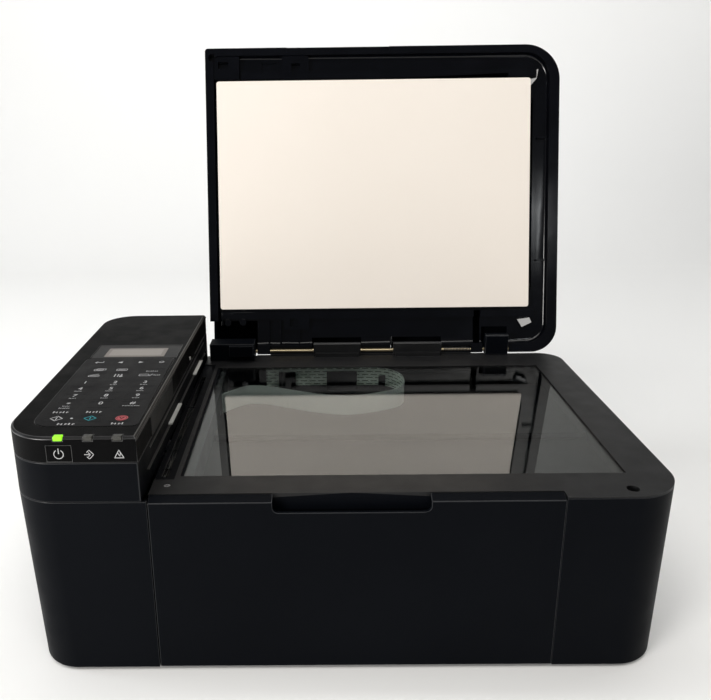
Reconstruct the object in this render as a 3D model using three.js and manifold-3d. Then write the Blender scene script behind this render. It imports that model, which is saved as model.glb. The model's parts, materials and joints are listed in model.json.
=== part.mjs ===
// All-in-one inkjet printer with a document feeder in its lid, lid shown open.
// Millimetres, +Z up. Built with x centred, y running back from the front face and z up from the
// surface it stands on; the exported group then moves the origin to the middle of its footprint.
import * as THREE from 'three';
import { mergeVertices } from 'three/addons/utils/BufferGeometryUtils.js';
import Module from 'manifold-3d';

const wasm = await Module();
wasm.setup();

// ---------------------------------------------------------------- driving dimensions
const WIDTH = 435;                 // over the whole machine
const DEPTH = 295;                 // lid closed
const CLOSED_HEIGHT = 189;         // to the top of the closed document feeder
const FOOT = 2.5;                  // rubber foot height
const WALL = 2.5;                  // moulded wall
const GAP = 0.3;                   // between neighbouring pieces
const LID_ANGLE = 103.4;           // how far the lid stands open, degrees

const HALF = WIDTH / 2;
const BASE_DEPTH = 288;            // the base stops short of the lid's swing
const CASE_SEAM = 129;             // top edge of the side covers
const FRAME_TOP = 130.2;           // top of the platen frame
const POD_SEAM = 156.5;            // joint below the control panel housing
const POD_TOP = 174;
const POD_DEPTH = 283;
const POD_FRONT_X = -130.3;        // right wall of the control panel, at its front
const POD_REAR_X = -125;           // and at its rear
const COVER_X = [-126.7, 138.8];   // front cover, left and right edge
const LID_UNDER = 131;             // underside of the closed lid
const LID_X = [-122.5, HALF];
const HINGE = { y: 292, z: 133.5 };
const FRAME_Z = 140.5;             // joint between the lid's inner frame and its shell
const SHELL_TOP = 163;             // top of the lid beside the document feeder
const GLASS = { x0: -111, x1: 188, y0: 32.5, y1: 252.6 };
const LEDGE = 2.8;                  // the glass reaches this far under its frame
const SIDE_LEAN = { left: 5, right: 2.5 };   // how far the side walls draw in at the bottom

const CORNERS = { fl: 32, fr: 33, rr: 20, rl: 28 };
const ARC = 8;                     // segments in a quarter turn

// ---------------------------------------------------------------- solids
function solid(geometry) {
  geometry.deleteAttribute('normal');
  geometry.deleteAttribute('uv');
  const merged = mergeVertices(geometry, 1e-4);
  return new wasm.Manifold(new wasm.Mesh({
    numProp: 3,
    vertProperties: Float32Array.from(merged.attributes.position.array),
    triVerts: Uint32Array.from(merged.index.array),
  }));
}

function geometryOf(body) {
  const mesh = body.getMesh();
  const geometry = new THREE.BufferGeometry();
  geometry.setAttribute('position', new THREE.BufferAttribute(mesh.vertProperties, 3));
  geometry.setIndex(new THREE.BufferAttribute(mesh.triVerts, 1));
  geometry.computeVertexNormals();
  return geometry;
}

const join = (first, ...rest) => rest.reduce((all, next) => all.add(next), first);
const cut = (first, ...rest) => rest.reduce((all, next) => all.subtract(next), first);

function block(x0, x1, y0, y1, z0, z1) {
  const box = new THREE.BoxGeometry(x1 - x0, y1 - y0, z1 - z0);
  return solid(box.translate((x0 + x1) / 2, (y0 + y1) / 2, (z0 + z1) / 2));
}

function polygon(points) {
  return new THREE.Shape(points.map(([a, b]) => new THREE.Vector2(a, b)));
}

// a shape drawn in x and y, raised from z0 to z1
function plate(shape, z0, z1) {
  const flat = new THREE.ExtrudeGeometry(shape, { depth: z1 - z0, bevelEnabled: false, curveSegments: ARC });
  return solid(flat.translate(0, 0, z0));
}

// a shape drawn in y and z, drawn out along x
function prismX(shape, x0, x1) {
  const long = new THREE.ExtrudeGeometry(shape, { depth: x1 - x0, bevelEnabled: false, curveSegments: ARC });
  const turn = new THREE.Matrix4().makeBasis(
    new THREE.Vector3(0, 1, 0), new THREE.Vector3(0, 0, 1), new THREE.Vector3(1, 0, 0));
  return solid(long.applyMatrix4(turn.setPosition(x0, 0, 0)));
}

// a shape drawn in x and z, drawn out along y
function prismY(shape, y0, y1) {
  const long = new THREE.ExtrudeGeometry(shape, { depth: y1 - y0, bevelEnabled: false, curveSegments: ARC });
  const turn = new THREE.Matrix4().makeBasis(
    new THREE.Vector3(1, 0, 0), new THREE.Vector3(0, 0, 1), new THREE.Vector3(0, -1, 0));
  return solid(long.applyMatrix4(turn.setPosition(0, y1, 0)));
}

const ROUND = 16;
function rodX(x0, x1, y, z, radius, sides = ROUND) {
  const rod = new THREE.CylinderGeometry(radius, radius, x1 - x0, sides).rotateZ(Math.PI / 2);
  return solid(rod.translate((x0 + x1) / 2, y, z));
}
function rodY(y0, y1, x, z, radius, sides = ROUND) {
  const rod = new THREE.CylinderGeometry(radius, radius, y1 - y0, sides);
  return solid(rod.translate(x, (y0 + y1) / 2, z));
}
function rodZ(z0, z1, x, y, radius, sides = ROUND) {
  const rod = new THREE.CylinderGeometry(radius, radius, z1 - z0, sides).rotateX(Math.PI / 2);
  return solid(rod.translate(x, y, (z0 + z1) / 2));
}

// a rectangle with its own radius at each corner: front left, front right, rear right, rear left
function rounded(x0, x1, y0, y1, { fl = 0.5, fr = 0.5, rr = 0.5, rl = 0.5 }) {
  const shape = new THREE.Shape();
  shape.moveTo(x0 + fl, y0);
  shape.lineTo(x1 - fr, y0);
  shape.absarc(x1 - fr, y0 + fr, fr, -Math.PI / 2, 0, false);
  shape.absarc(x1 - rr, y1 - rr, rr, 0, Math.PI / 2, false);
  shape.absarc(x0 + rl, y1 - rl, rl, Math.PI / 2, Math.PI, false);
  shape.absarc(x0 + fl, y0 + fl, fl, Math.PI, Math.PI * 1.5, false);
  return shape;
}

const shrink = (corners, by) => Object.fromEntries(
  Object.entries(corners).map(([name, radius]) => [name, Math.max(radius - by, 0.5)]));

// ---------------------------------------------------------------- outlines
function caseOutline(inset) {
  return rounded(-HALF + inset, HALF - inset, inset, BASE_DEPTH - inset, shrink(CORNERS, inset));
}

// the control panel's outline; its right wall runs slightly out of square
function podOutline(inset) {
  const { fl, rl } = shrink(CORNERS, inset);
  const shape = new THREE.Shape();
  shape.moveTo(-HALF + inset + fl, inset);
  shape.lineTo(POD_FRONT_X - inset, inset);
  shape.lineTo(POD_REAR_X - inset, POD_DEPTH - inset);
  shape.absarc(-HALF + inset + rl, POD_DEPTH - inset - rl, rl, Math.PI / 2, Math.PI, false);
  shape.absarc(-HALF + inset + fl, inset + fl, fl, Math.PI, Math.PI * 1.5, false);
  return shape;
}

function lidOutline(inset) {
  return rounded(LID_X[0] + inset, LID_X[1] - inset, inset, DEPTH - inset,
    shrink({ fl: 3, fr: 33, rr: 25, rl: 3 }, inset));
}

// the side walls lean: everything beyond the front cover draws in towards the bottom
function lean(body) {
  return body.warp((v) => {
    const down = Math.max(0, Math.min(1, (CASE_SEAM - v[2]) / (CASE_SEAM - FOOT)));
    const left = Math.max(0, (-v[0] - 150) / (HALF - 150));
    const right = Math.max(0, (v[0] - 160) / (HALF - 160));
    v[0] += down * (SIDE_LEAN.left * left - SIDE_LEAN.right * right);
  });
}

// ---------------------------------------------------------------- materials
const plastic = (color, roughness) => new THREE.MeshStandardMaterial({ color, roughness, metalness: 0 });
const metal = (color, roughness) => new THREE.MeshStandardMaterial({ color, roughness, metalness: 1 });
const MATERIALS = {
  caseBlack: plastic(0x12151b, 0.45),
  frameBlack: plastic(0x1b1a1a, 0.5),
  glossBlack: plastic(0x0b0c0f, 0.12),
  innerBlack: plastic(0x0e0e10, 0.6),
  overlay: plastic(0x2a2a30, 0.4),
  cream: plastic(0xeee6dc, 0.6),
  grey: plastic(0x77797c, 0.5),
  glass: new THREE.MeshStandardMaterial({ color: 0x9fb0b4, roughness: 0.03, transparent: true, opacity: 0.3 }),
  lens: plastic(0x9ea39a, 0.3),
  ribbon: plastic(0xc9d6cb, 0.4),
  rubber: plastic(0x1c1c1c, 0.9),
  board: plastic(0x1d4d33, 0.6),
  steel: metal(0xb9bcc0, 0.3),
  blackInk: plastic(0x17181a, 0.5),
};

// ---------------------------------------------------------------- the scene
const printer = new THREE.Group();
const base = new THREE.Group();
const lidPivot = new THREE.Group();
const lid = new THREE.Group();
base.add(lidPivot);
lidPivot.position.set(0, HINGE.y, HINGE.z);
lidPivot.rotation.x = THREE.MathUtils.degToRad(-LID_ANGLE);
lidPivot.add(lid);
lid.position.set(0, -HINGE.y, -HINGE.z);

function piece(group, name, material, body) {
  const mesh = new THREE.Mesh(geometryOf(body), MATERIALS[material]);
  mesh.name = name;
  group.add(mesh);
}

// ---------------------------------------------------------------- outer covers
const COVER_SEAM = { rear0: -150, rear1: 190 };   // where the rear cover meets the side covers
const COVER_HINGE = { y: 5, z: 6, radius: 2 };    // front cover's pins
const JAM_DOOR = { x0: -105, x1: 117, z0: 14, z1: 84, pinZ: 16.2 };
const INLET = { x0: 150, x1: 174, z0: 20, z1: 40 };
const USB = { x0: -180.4, x1: -168, z0: 30, z1: 41 };
const HANDLE = { x0: -47.5, x1: 53.6, round: 4, depth: 10 };
const SHELL_Z = [FOOT, CASE_SEAM - GAP / 2];

function wallRing() {
  const outer = plate(caseOutline(0), ...SHELL_Z);
  return cut(outer, plate(caseOutline(WALL), FOOT - 1, CASE_SEAM + 1));
}

function bottomCase() {
  const inset = WALL + GAP;
  const floor = plate(caseOutline(inset), FOOT, FOOT + 3);
  const rim = cut(plate(caseOutline(inset), FOOT, 14), plate(caseOutline(inset + 2.5), FOOT + 1, 15));
  const doorway = block(COVER_X[0] - 4, COVER_X[1] + 4, -1, 10, 0, 20);
  const flanges = [COVER_X[0] - 4, COVER_X[1]].map((x) => block(x - 1, x + 5, -1, 32, 0, 20));
  const inlet = block(INLET.x0 - 2, INLET.x1 + 2, 270, 290, 6, 20);
  const jamDoor = block(JAM_DOOR.x0 - 4, JAM_DOOR.x1 + 4, 270, 290, 7, 20);
  return cut(lean(join(floor, rim)), doorway, ...flanges, inlet, jamDoor);
}

function sideCover(side) {
  const left = side < 0;
  const frontX = left ? COVER_X[0] - 0.6 : COVER_X[1] + 0.3;
  const rearX = left ? COVER_SEAM.rear0 - GAP : COVER_SEAM.rear1 + GAP;
  const span = (x, y0, y1) => (left ? block(-300, x, y0, y1, 0, 200) : block(x, 300, y0, y1, 0, 200));
  const wall = wallRing().intersect(join(span(frontX, -10, 200), span(rearX, 190, 400)));
  const flangeX = left ? [frontX - 3, frontX] : [frontX, frontX + 3];
  const flange = block(...flangeX, 0.5, 10.5, FOOT, 125.7);
  const { y, z, radius } = COVER_HINGE;
  const pinHole = rodX(flangeX[0] - 1, flangeX[1] + 1, y, z, radius + 0.1);
  const cover = cut(join(wall, flange), pinHole);
  if (!left) return lean(cover);
  return cut(lean(cover), block(USB.x0 - 3, USB.x1 + GAP, 280, 292, USB.z0 - GAP, USB.z1 + GAP));
}

function rearCover() {
  const wall = lean(wallRing().intersect(block(COVER_SEAM.rear0, COVER_SEAM.rear1, 200, 400, 0, 200)));
  const door = block(JAM_DOOR.x0 - GAP, JAM_DOOR.x1 + GAP, 280, 292, JAM_DOOR.z0 - GAP, JAM_DOOR.z1 + GAP);
  const pins = rodX(JAM_DOOR.x0 - 2.3, JAM_DOOR.x1 + 2.3, 286.7, JAM_DOOR.pinZ, 1.1, 12);
  const inlet = block(INLET.x0 - GAP, INLET.x1 + GAP, 280, 292, INLET.z0 - GAP, INLET.z1 + GAP);
  const vents = [];
  for (let i = 0; i < 6; i += 1) vents.push(block(136 + 8 * i, 140 + 8 * i, 280, 292, 60, 84));
  return cut(wall, door, pins, inlet, ...vents);
}

function transportCover() {
  const panel = block(JAM_DOOR.x0, JAM_DOOR.x1, 285.6, BASE_DEPTH, JAM_DOOR.z0 + 0.5, JAM_DOOR.z1);
  const grip = block(-14, 26, 286.8, 289, JAM_DOOR.z1 - 12, JAM_DOOR.z1 - 4);
  const pins = rodX(JAM_DOOR.x0 - 2, JAM_DOOR.x1 + 2, 286.7, JAM_DOOR.pinZ, 1, 12);
  const guide = block(JAM_DOOR.x0 + 6, JAM_DOOR.x1 - 6, 278, 286, 40, 80);
  const curve = rodX(JAM_DOOR.x0, JAM_DOOR.x1, 262, 60, 20, 40);
  return join(cut(panel, grip), pins, cut(guide, curve));
}

// front panel with its top edge turned back, hinged along the bottom
function frontCover() {
  const [x0, x1] = COVER_X;
  const top = FRAME_TOP - 0.2;
  const skin = polygon([[0, 3], [2.8, 3], [2.8, 126.2], [7.6, 127.8], [7.6, top], [6.2, top], [0, 127.6]]);
  const { x0: h0, x1: h1, round, depth } = HANDLE;
  const notch = rounded(h0, h1, FRAME_TOP - depth, FRAME_TOP + 3, { fl: round, fr: round });
  const ribs = [x0 + 1, x0 + 66, (x0 + x1) / 2, x1 - 68, x1 - 3].map((x) => block(x, x + 2, 2, 6, 10, 112));
  const cross = [30, 70, 112].map((z) => block(x0 + 1, x1 - 1, 2, 4.5, z, z + 2));
  const lugs = [[x0, x0 + 6], [x1 - 6, x1]].map((x) => block(...x, 1, 7.5, 3.5, 12));
  const { y, z, radius } = COVER_HINGE;
  const pins = [[x0 - 3, x0 + 1], [x1 - 1, x1 + 3]].map((x) => rodX(...x, y, z, radius));
  return join(cut(prismX(skin, x0, x1), prismY(notch, -1, 9)), ...ribs, ...cross, ...lugs, ...pins);
}

function foot(x, y) {
  const profile = [[0, 0], [6.4, 0], [7, 0.6], [7, FOOT], [0, FOOT]].map(([r, z]) => new THREE.Vector2(r, z));
  return solid(new THREE.LatheGeometry(profile, ROUND).rotateX(Math.PI / 2).translate(x, y, 0));
}

piece(base, 'bottom_case', 'innerBlack', bottomCase());
piece(base, 'left_side_cover', 'caseBlack', sideCover(-1));
piece(base, 'right_side_cover', 'caseBlack', sideCover(1));
piece(base, 'rear_cover', 'caseBlack', rearCover());
piece(base, 'transport_cover', 'caseBlack', transportCover());
piece(base, 'front_cover', 'caseBlack', frontCover());
for (const [end, y] of [['front', 34], ['rear', 256]]) {
  piece(base, `foot_${end}_left`, 'rubber', foot(-178, y));
  piece(base, `foot_${end}_right`, 'rubber', foot(182, y));
}

// ---------------------------------------------------------------- scanner unit
const TUB = { x0: -124, x1: 203.5, y0: 11, y1: 284, floor: 98, top: 126.2 };
const TUB_FLOOR = TUB.floor + WALL;
const ADF_GLASS = { x0: -124.6, x1: -118.6, y0: 32, y1: 231 };
const RAIL = { y: 145, z: 104.2, radius: 3 };
const SCAN_HEAD = { x0: -121, x1: -103, y0: 22, y1: 262, z0: 106, z1: 124.6 };
const DRIVE = { x: -112, z: 107, radius: 4 };
const TABS = [[-21, 25], [57, 104]];            // cable covers standing along the hinge line
const TAB_SWEEP = 279.4;                        // the lid is cut back to here, clear of the tabs as it turns
const CHANNEL = { x0: -130, x1: -114.2, y0: 28, y1: 262, depth: 0.8 };   // sunk strip round the feeder glass
const POSTS = { left: [-121, -78], right: [147, 169] };

// the cable's rear run lies against the tub's rear wall, then turns back to the scan head
function cablePath() {
  const rear = [[-86, 271], [-40, 271.5], [14, 271], [36, 270.4], [50, 266.6], [60, 254], [62.6, 236],
    [57, 217], [40, 206]];
  const front = [[12, 197], [-14, 201], [-41, 212.5], [-62, 222], [-80, 224], [-94, 213], [-102.4, 203]];
  return new THREE.CatmullRomCurve3([...rear, ...front].map(([x, y]) => new THREE.Vector3(x, y, 0)));
}

function scanCable() {
  const steps = 54;
  const half = 0.25;
  const path = cablePath();
  const sides = [[], []];
  for (let i = 0; i <= steps; i += 1) {
    const at = path.getPointAt(i / steps);
    const along = path.getTangentAt(i / steps);
    sides[0].push([at.x - along.y * half, at.y + along.x * half]);
    sides[1].unshift([at.x + along.y * half, at.y - along.x * half]);
  }
  return plate(polygon([...sides[0], ...sides[1]]), 102.6, 120.6);
}

function scannerTub() {
  const { x0, x1, y0, y1, floor, top } = TUB;
  const hollow = block(x0 + WALL, x1 - WALL, y0 + WALL, y1 - WALL, TUB_FLOOR, top + 1);
  const tub = cut(block(x0, x1, y0, y1, floor, top), hollow);
  const clips = [[-54.5, -38.5, 119], [-8.5, 20.3, 119], [41.2, 47.6, 114.5]].map(
    ([a, b, z]) => block(a, b, 262.5, 264.8, floor + 1, z));
  const ledge = block(-118, 200, 274.5, y1 - 1, floor + 1, 112);
  const railEnds = [[x0 + 1, x0 + 2.6], [x1 - 2.6, x1 - 1]].map((x) => block(...x, 138, 152, floor + 1, 109));
  return join(tub, ...clips, ledge, ...railEnds);
}

function platenFrame() {
  const { x0, x1, y0, y1 } = GLASS;
  const outline = plate(caseOutline(0), CASE_SEAM + GAP / 2, FRAME_TOP);
  const skirt = plate(caseOutline(WALL + GAP), 126.6, FRAME_TOP);
  const right = block(-127.6, 300, -10, 400, 100, 200);
  const upper = join(outline, skirt).intersect(right);
  const lip = 3;
  const pocket = block(x0 - lip, x1 + lip, y0 - lip, y1 + lip, 120, FRAME_TOP - 1);
  const slot = ADF_GLASS;
  const frontEdge = block(COVER_X[0] - 1, COVER_X[1] + 0.3, -1, 8, 120, 140);
  const apron = block(HANDLE.x0 - 8, HANDLE.x1 + 8, 8, 10.2, 116, 127);
  const tabSide = polygon([[284, 129.2], [287.4, 129.2], [287.4, 143.5], [285.2, 143.5], [284, 142.3]]);
  const tabs = TABS.map((x) => prismX(tabSide, ...x));
  const channel = block(CHANNEL.x0, CHANNEL.x1, CHANNEL.y0, CHANNEL.y1, FRAME_TOP - CHANNEL.depth, 140);
  const tabFeet = TABS.map(([a, b]) => block(a + 2, b - 2, 281, 285, 129.2, 134));
  const deck = join(cut(upper, channel), apron, ...tabs, ...tabFeet);
  return cut(deck, frontEdge, pocket, plate(podOutline(-GAP), 120, 200),
    block(x0, x1, y0, y1, 120, 140),
    block(slot.x0 - 0.3, slot.x1 + 0.3, slot.y0 - 0.3, slot.y1 + 0.3, 120, 129),
    block(slot.x0 + 1, slot.x1 - 1, slot.y0 + 1, slot.y1 - 1, 120, 140),
    rodZ(120, 140, 183.8, 10.2, 4.2), rodZ(129, 140, -117.5, 20, 2.4, 16));
}

// a knuckle that holds the hinge rod, rising from the back of the platen frame
function hingePost(side) {
  const [x0, x1] = POSTS[side];
  const left = side === 'left';
  const foot = FRAME_TOP + GAP;
  const profile = left
    ? polygon([[272, foot], [289, foot], [290.2, 129.2], [295, 132], [295, 141], [291, 147], [272, 147]])
    : polygon([[284.6, foot], [289, foot], [290.2, 129.2], [295, 131], [295, 144], [292, 150], [285.6, 150],
      [284.6, 149]]);
  const body = prismX(profile, x0, x1);
  const bore = rodX(x0 - 1, x1 + 1, HINGE.y, HINGE.z, 1.92);
  return left ? cut(join(body, block(x0 + 19, x1 - 1, 268, 273, 136, 146)), bore) : cut(body, bore);
}

function scanCarriage() {
  const { x0, x1, y0, y1, z0, z1 } = SCAN_HEAD;
  const { x, z } = DRIVE;
  return cut(block(x0, x1, y0, y1, z0, z1),
    block(x0 + 5, x1 - 5, y0 + 6, y1 - 6, z1 - 1.2, z1 + 1),
    rodX(x0 - 1, x1 + 1, RAIL.y, RAIL.z, RAIL.radius + 0.12),
    block(x - 5, x + 5, 58, 66, z0 - 1, z + 5),
    rodY(55, 69, x, z, 1.12, 16));
}

piece(base, 'scanner_tub', 'innerBlack', scannerTub());
piece(base, 'platen_frame', 'frameBlack', platenFrame());
const grownGlass = [GLASS.x0 - LEDGE, GLASS.x1 + LEDGE, GLASS.y0 - LEDGE, GLASS.y1 + LEDGE];
piece(base, 'platen_glass', 'glass', block(...grownGlass, 126, 129.1));
piece(base, 'adf_glass', 'glass', block(ADF_GLASS.x0, ADF_GLASS.x1, ADF_GLASS.y0, ADF_GLASS.y1, 126.6, 128.9));
piece(base, 'hinge_post_left', 'frameBlack', hingePost('left'));
piece(base, 'hinge_post_right', 'frameBlack', hingePost('right'));
piece(base, 'scan_rail', 'steel', rodX(TUB.x0 + 2.9, TUB.x1 - 2.9, RAIL.y, RAIL.z, RAIL.radius));
piece(base, 'scan_belt', 'rubber', block(TUB.x0 + 4, TUB.x1 - 4, 60, 64, TUB_FLOOR + 0.2, 102.4));
piece(base, 'scan_carriage', 'grey', scanCarriage());
piece(base, 'scan_drive_gear', 'grey', join(rodY(59, 65, DRIVE.x, DRIVE.z, DRIVE.radius),
  rodY(56, 68, DRIVE.x, DRIVE.z, 1, 16)));
piece(base, 'scan_cable', 'ribbon', scanCable());

// ---------------------------------------------------------------- control panel
const KEYPAD = { x0: -202, x1: -132.6, y0: 17, y1: 152, corner: 13 };
const LCD = { x0: -200.5, x1: -131.8, y0: 154.5, y1: 187.5 };
const LCD_BODY = [LCD.x0 + 5.5, LCD.x1 - 5.4, LCD.y0 + 3, LCD.y1 - 3];
const POWER_KEY = { x0: -186.4, x1: -171.4, z0: 157.9, z1: 168 };
const LAMPS = [-179, -160.2, -141.9];
const LAMP_FOOT = POD_TOP - 2.4;                // lower edge of the lamp windows
const KEY_FACE = POD_TOP - 0.8;

function panelBase() {
  const outer = plate(podOutline(0), CASE_SEAM + GAP / 2, POD_SEAM - GAP / 2);
  const inner = plate(podOutline(WALL), CASE_SEAM + 3, POD_SEAM + 1);
  const ledge = block(-127.2, -122.5, 200, 280, 120, 140);
  return cut(outer, inner, ledge);
}

function panelHousing() {
  const chamfer = 1.4;
  const top = new THREE.ExtrudeGeometry(podOutline(chamfer), {
    depth: 2, bevelThickness: chamfer, bevelSize: chamfer, bevelSegments: 1, curveSegments: ARC });
  const cap = solid(top.translate(0, 0, POD_TOP - 2 - chamfer));
  const wall = plate(podOutline(0), POD_SEAM + GAP / 2, POD_TOP - 2.5);
  const hollow = plate(podOutline(WALL), POD_SEAM - 1, POD_TOP - WALL);
  const overlay = plate(keypadOutline(-0.3), KEY_FACE - 0.1, POD_TOP + 1);
  const window = block(LCD.x0 - 0.3, LCD.x1 + 0.3, LCD.y0 - 0.3, LCD.y1 + 0.3, POD_TOP - 1.7, POD_TOP + 1);
  const [bodyX0, bodyX1, bodyY0, bodyY1] = LCD_BODY;
  const well = block(bodyX0 - GAP, bodyX1 + GAP, bodyY0 - GAP, bodyY1 + GAP, POD_TOP - 4, POD_TOP + 1);
  const key = block(POWER_KEY.x0 - 0.3, POWER_KEY.x1 + 0.3, -1, 4, POWER_KEY.z0 - 0.3, POWER_KEY.z1 + 0.3);
  const lamps = LAMPS.map((x) => block(x - 3, x + 3, -1, 4.3, LAMP_FOOT - GAP, POD_TOP + 1));
  return cut(join(wall, cap), hollow, overlay, window, well, key, ...lamps);
}

function keypadOutline(inset) {
  const { x0, x1, y0, y1, corner } = KEYPAD;
  return rounded(x0 + inset, x1 - inset, y0 + inset, y1 - inset,
    shrink({ fl: corner, fr: 5, rr: 3, rl: 3 }, inset));
}

function statusLightGuide() {
  const bar = block(LAMPS[0] - 3, LAMPS[2] + 3, 2.9, 6, 168.4, 171);
  const noses = LAMPS.map((x) => block(x - 2.7, x + 2.7, -0.2, 4, LAMP_FOOT, POD_TOP + 0.2));
  const necks = LAMPS.map((x) => block(x - 2.7, x + 2.7, 2.9, 4, 169, LAMP_FOOT + 1));
  return join(bar, ...noses, ...necks);
}

function powerButton() {
  const { x0, x1, z0, z1 } = POWER_KEY;
  return join(block(x0, x1, -0.2, 5, z0, z1), block(x0 + 5, x1 - 5, 4, 9, z0 + 3, z1 - 3));
}

piece(base, 'panel_base', 'caseBlack', panelBase());
piece(base, 'panel_housing', 'frameBlack', panelHousing());
piece(base, 'keypad_overlay', 'overlay', plate(keypadOutline(0), KEY_FACE, POD_TOP + 0.1));
piece(base, 'lcd_module', 'glass', join(block(LCD.x0, LCD.x1, LCD.y0, LCD.y1, POD_TOP - 1.6, POD_TOP - 0.3),
  block(...LCD_BODY, POD_TOP - 8, POD_TOP - 1)));
piece(base, 'power_button', 'caseBlack', powerButton());
piece(base, 'status_light_guide', 'lens', statusLightGuide());

// ---------------------------------------------------------------- lid and document feeder
const PAD = { x0: -112, x1: 190.5, y0: 31, y1: 251 };
const POST_SPACE = {                            // room the hinge posts need as the lid turns
  left: [-130, POSTS.left[1] + 1.5, 262, 300, 120, 160],
  right: [POSTS.right[0] - 1.7, POSTS.right[1] + 1.7, 270, 300, 120, 155],
};
const ADF_RIGHT = 60.5;                         // right end of the document feeder
const ADF_SPLIT = -44;                          // between its cover and its tray
const COVER_SWING = 1.1;                        // the cover's lower corner swings this far out as it lifts
const ADF_WALL_TOP = 170.6;
const FEED = { x: -88, z: 173, radius: 9 };
const PICKUP = { x: -62, z: 178.7, radius: 7 };
const TRAY_HINGE = { x: 57.5, z: 183.5 };
const ADF_HINGE = { x: -117, z: 181 };
const ADF_ENDS = [[8, 10.5], [255.5, 258]];     // end plates that carry the feeder's shafts and hinges
const ADF_PIN = 1.5;

function lidInnerFrame() {
  const slab = plate(lidOutline(0), LID_UNDER, FRAME_Z - GAP / 2);
  const recessDepth = 7;
  const slope = 3;
  const hollow = new THREE.ExtrudeGeometry(
    rounded(-114.5 + slope, 208 - slope, 7 + slope, 286 - slope, { fl: 2, fr: 21, rr: 17, rl: 2 }),
    { depth: 20, bevelThickness: slope, bevelSize: slope, bevelSegments: 3, curveSegments: 6 });
  const recess = solid(hollow.translate(0, 0, LID_UNDER + recessDepth - slope - 20));
  const pedestal = block(PAD.x0 + 4, PAD.x1 - 4, PAD.y0 + 4, PAD.y1 - 4, 134.8, 139);
  const ledge = block(-88, 196, 22, 29, 133, 139);
  const rearLedge = block(-112, 196, 253, 260, 133.5, 139);
  const corner = block(-117, -90, 5, 29, 132.5, 139);
  const catchBlock = block(-49, -23, 5, 29, 132.5, 139);
  const bracket = block(-50, -25, 255, 271, 132.5, 139);
  const ribs = [-65.6, -54].map((x) => block(x, x + 1.4, 262, 287, 133.5, 139));
  const post = block(-35.6, -34.4, 271, 287, 134, 139);
  const stiffeners = [87, 205].map((y) => block(198, 208, y - 0.9, y + 0.9, 134.5, 139));
  const blocks = [ledge, rearLedge, corner, catchBlock, bracket, ...ribs, post, ...stiffeners];
  const body = join(cut(slab, recess), pedestal, ...blocks);
  const holes = [[-105.3, 15.4, 5, 3], [-35.5, 18.5, 4, 4], [-40, 264, 4, 4]].map(
    ([x, y, w, h]) => block(x - w, x + w, y - h, y + h, 120, 137));
  const stopHole = rodZ(120, 137, -116, 8.8, 3.5, 20);
  const rodGroove = [[-64, 134], [145.6, 171]].map((x) => block(...x, 287, 293.9, 120, 138));
  const tabSpace = TABS.map(([a, b]) => block(a - 1.5, b + 1.5, TAB_SWEEP, 291, 120, 160));
  const rodBore = rodX(-90, 182, HINGE.y, HINGE.z, 1.9);
  const fingerRelief = block(-44, 54.5, -1, 4, 120, LID_UNDER + 1);
  const padSlot = block(192, 194, 50, 233, 120, 150);
  const hingeSlot = block(137, 143.6, 253.5, 286, 120, 150);
  const pocket = block(-68.6, -53.7, 12.6, 20.3, 120, 139.4);
  const frontSlot = plate(polygon([[60, 29.6], [169, 25.8], [169, 30.4], [60, 30.4]]), 120, 150);
  const openings = [padSlot, hingeSlot, frontSlot, pocket, ...holes, stopHole, fingerRelief];
  return cut(body, ...openings, ...rodGroove, ...tabSpace, rodBore,
    block(...POST_SPACE.left), block(...POST_SPACE.right));
}

function lidOuterShell() {
  const z0 = FRAME_Z + GAP / 2;
  const tall = block(-200, ADF_RIGHT + 1, -10, 400, 100, 300);
  const feederSide = plate(lidOutline(0), z0, ADF_WALL_TOP).intersect(tall);
  const body = join(plate(lidOutline(0), z0, SHELL_TOP), feederSide);
  const hollow = join(plate(lidOutline(WALL), z0 - 1, SHELL_TOP - WALL),
    plate(lidOutline(WALL), z0 - 1, 200).intersect(block(-200, ADF_RIGHT - 1.5, -10, 400, 100, 300)));
  const hingeSide = block(-200, -108, -10, 400, 168, 200);
  return cut(body, hollow, hingeSide, block(ADF_RIGHT - 3, ADF_RIGHT + 2, 8, 287, SHELL_TOP, 200),
    block(...POST_SPACE.left), block(...POST_SPACE.right),
    ...TABS.map(([a, b]) => block(a - 1.5, b + 1.5, TAB_SWEEP, 291, 120, 160)));
}

function adfFrame() {
  const lower = block(-117, 57, 8, 258, 160.8, 163.4);
  const input = block(-74, 57, 8, 258, 167.6, 170);
  const ends = ADF_ENDS.map((y) => join(block(-104, -46, ...y, 160.8, 183), block(-50, 57, ...y, 160.8, 170)));
  const coverLugs = ADF_ENDS.map((y) => join(block(ADF_HINGE.x, -102, ...y, 179.8, 182.2),
    rodY(...y, ADF_HINGE.x, ADF_HINGE.z, 2.5)));
  const lugX = [TRAY_HINGE.x - 3, TRAY_HINGE.x + 2];
  const trayLugs = ADF_ENDS.map((y) => join(block(...lugX, ...y, 168, TRAY_HINGE.z),
    rodY(...y, TRAY_HINGE.x, TRAY_HINGE.z, 3)));
  const shafts = [[FEED, 3], [PICKUP, 2.5], [ADF_HINGE, ADF_PIN], [TRAY_HINGE, ADF_PIN]].map(
    ([{ x, z }, radius]) => rodY(0, 270, x, z, radius + 0.1));
  return cut(join(lower, input, ...ends, ...coverLugs, ...trayLugs), ...shafts);
}

function adfRoller({ x, z, radius }, shaft, y0, y1) {
  return join(rodY(7, 259, x, z, shaft), rodY(y0, y1, x, z, radius, 28));
}

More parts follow.
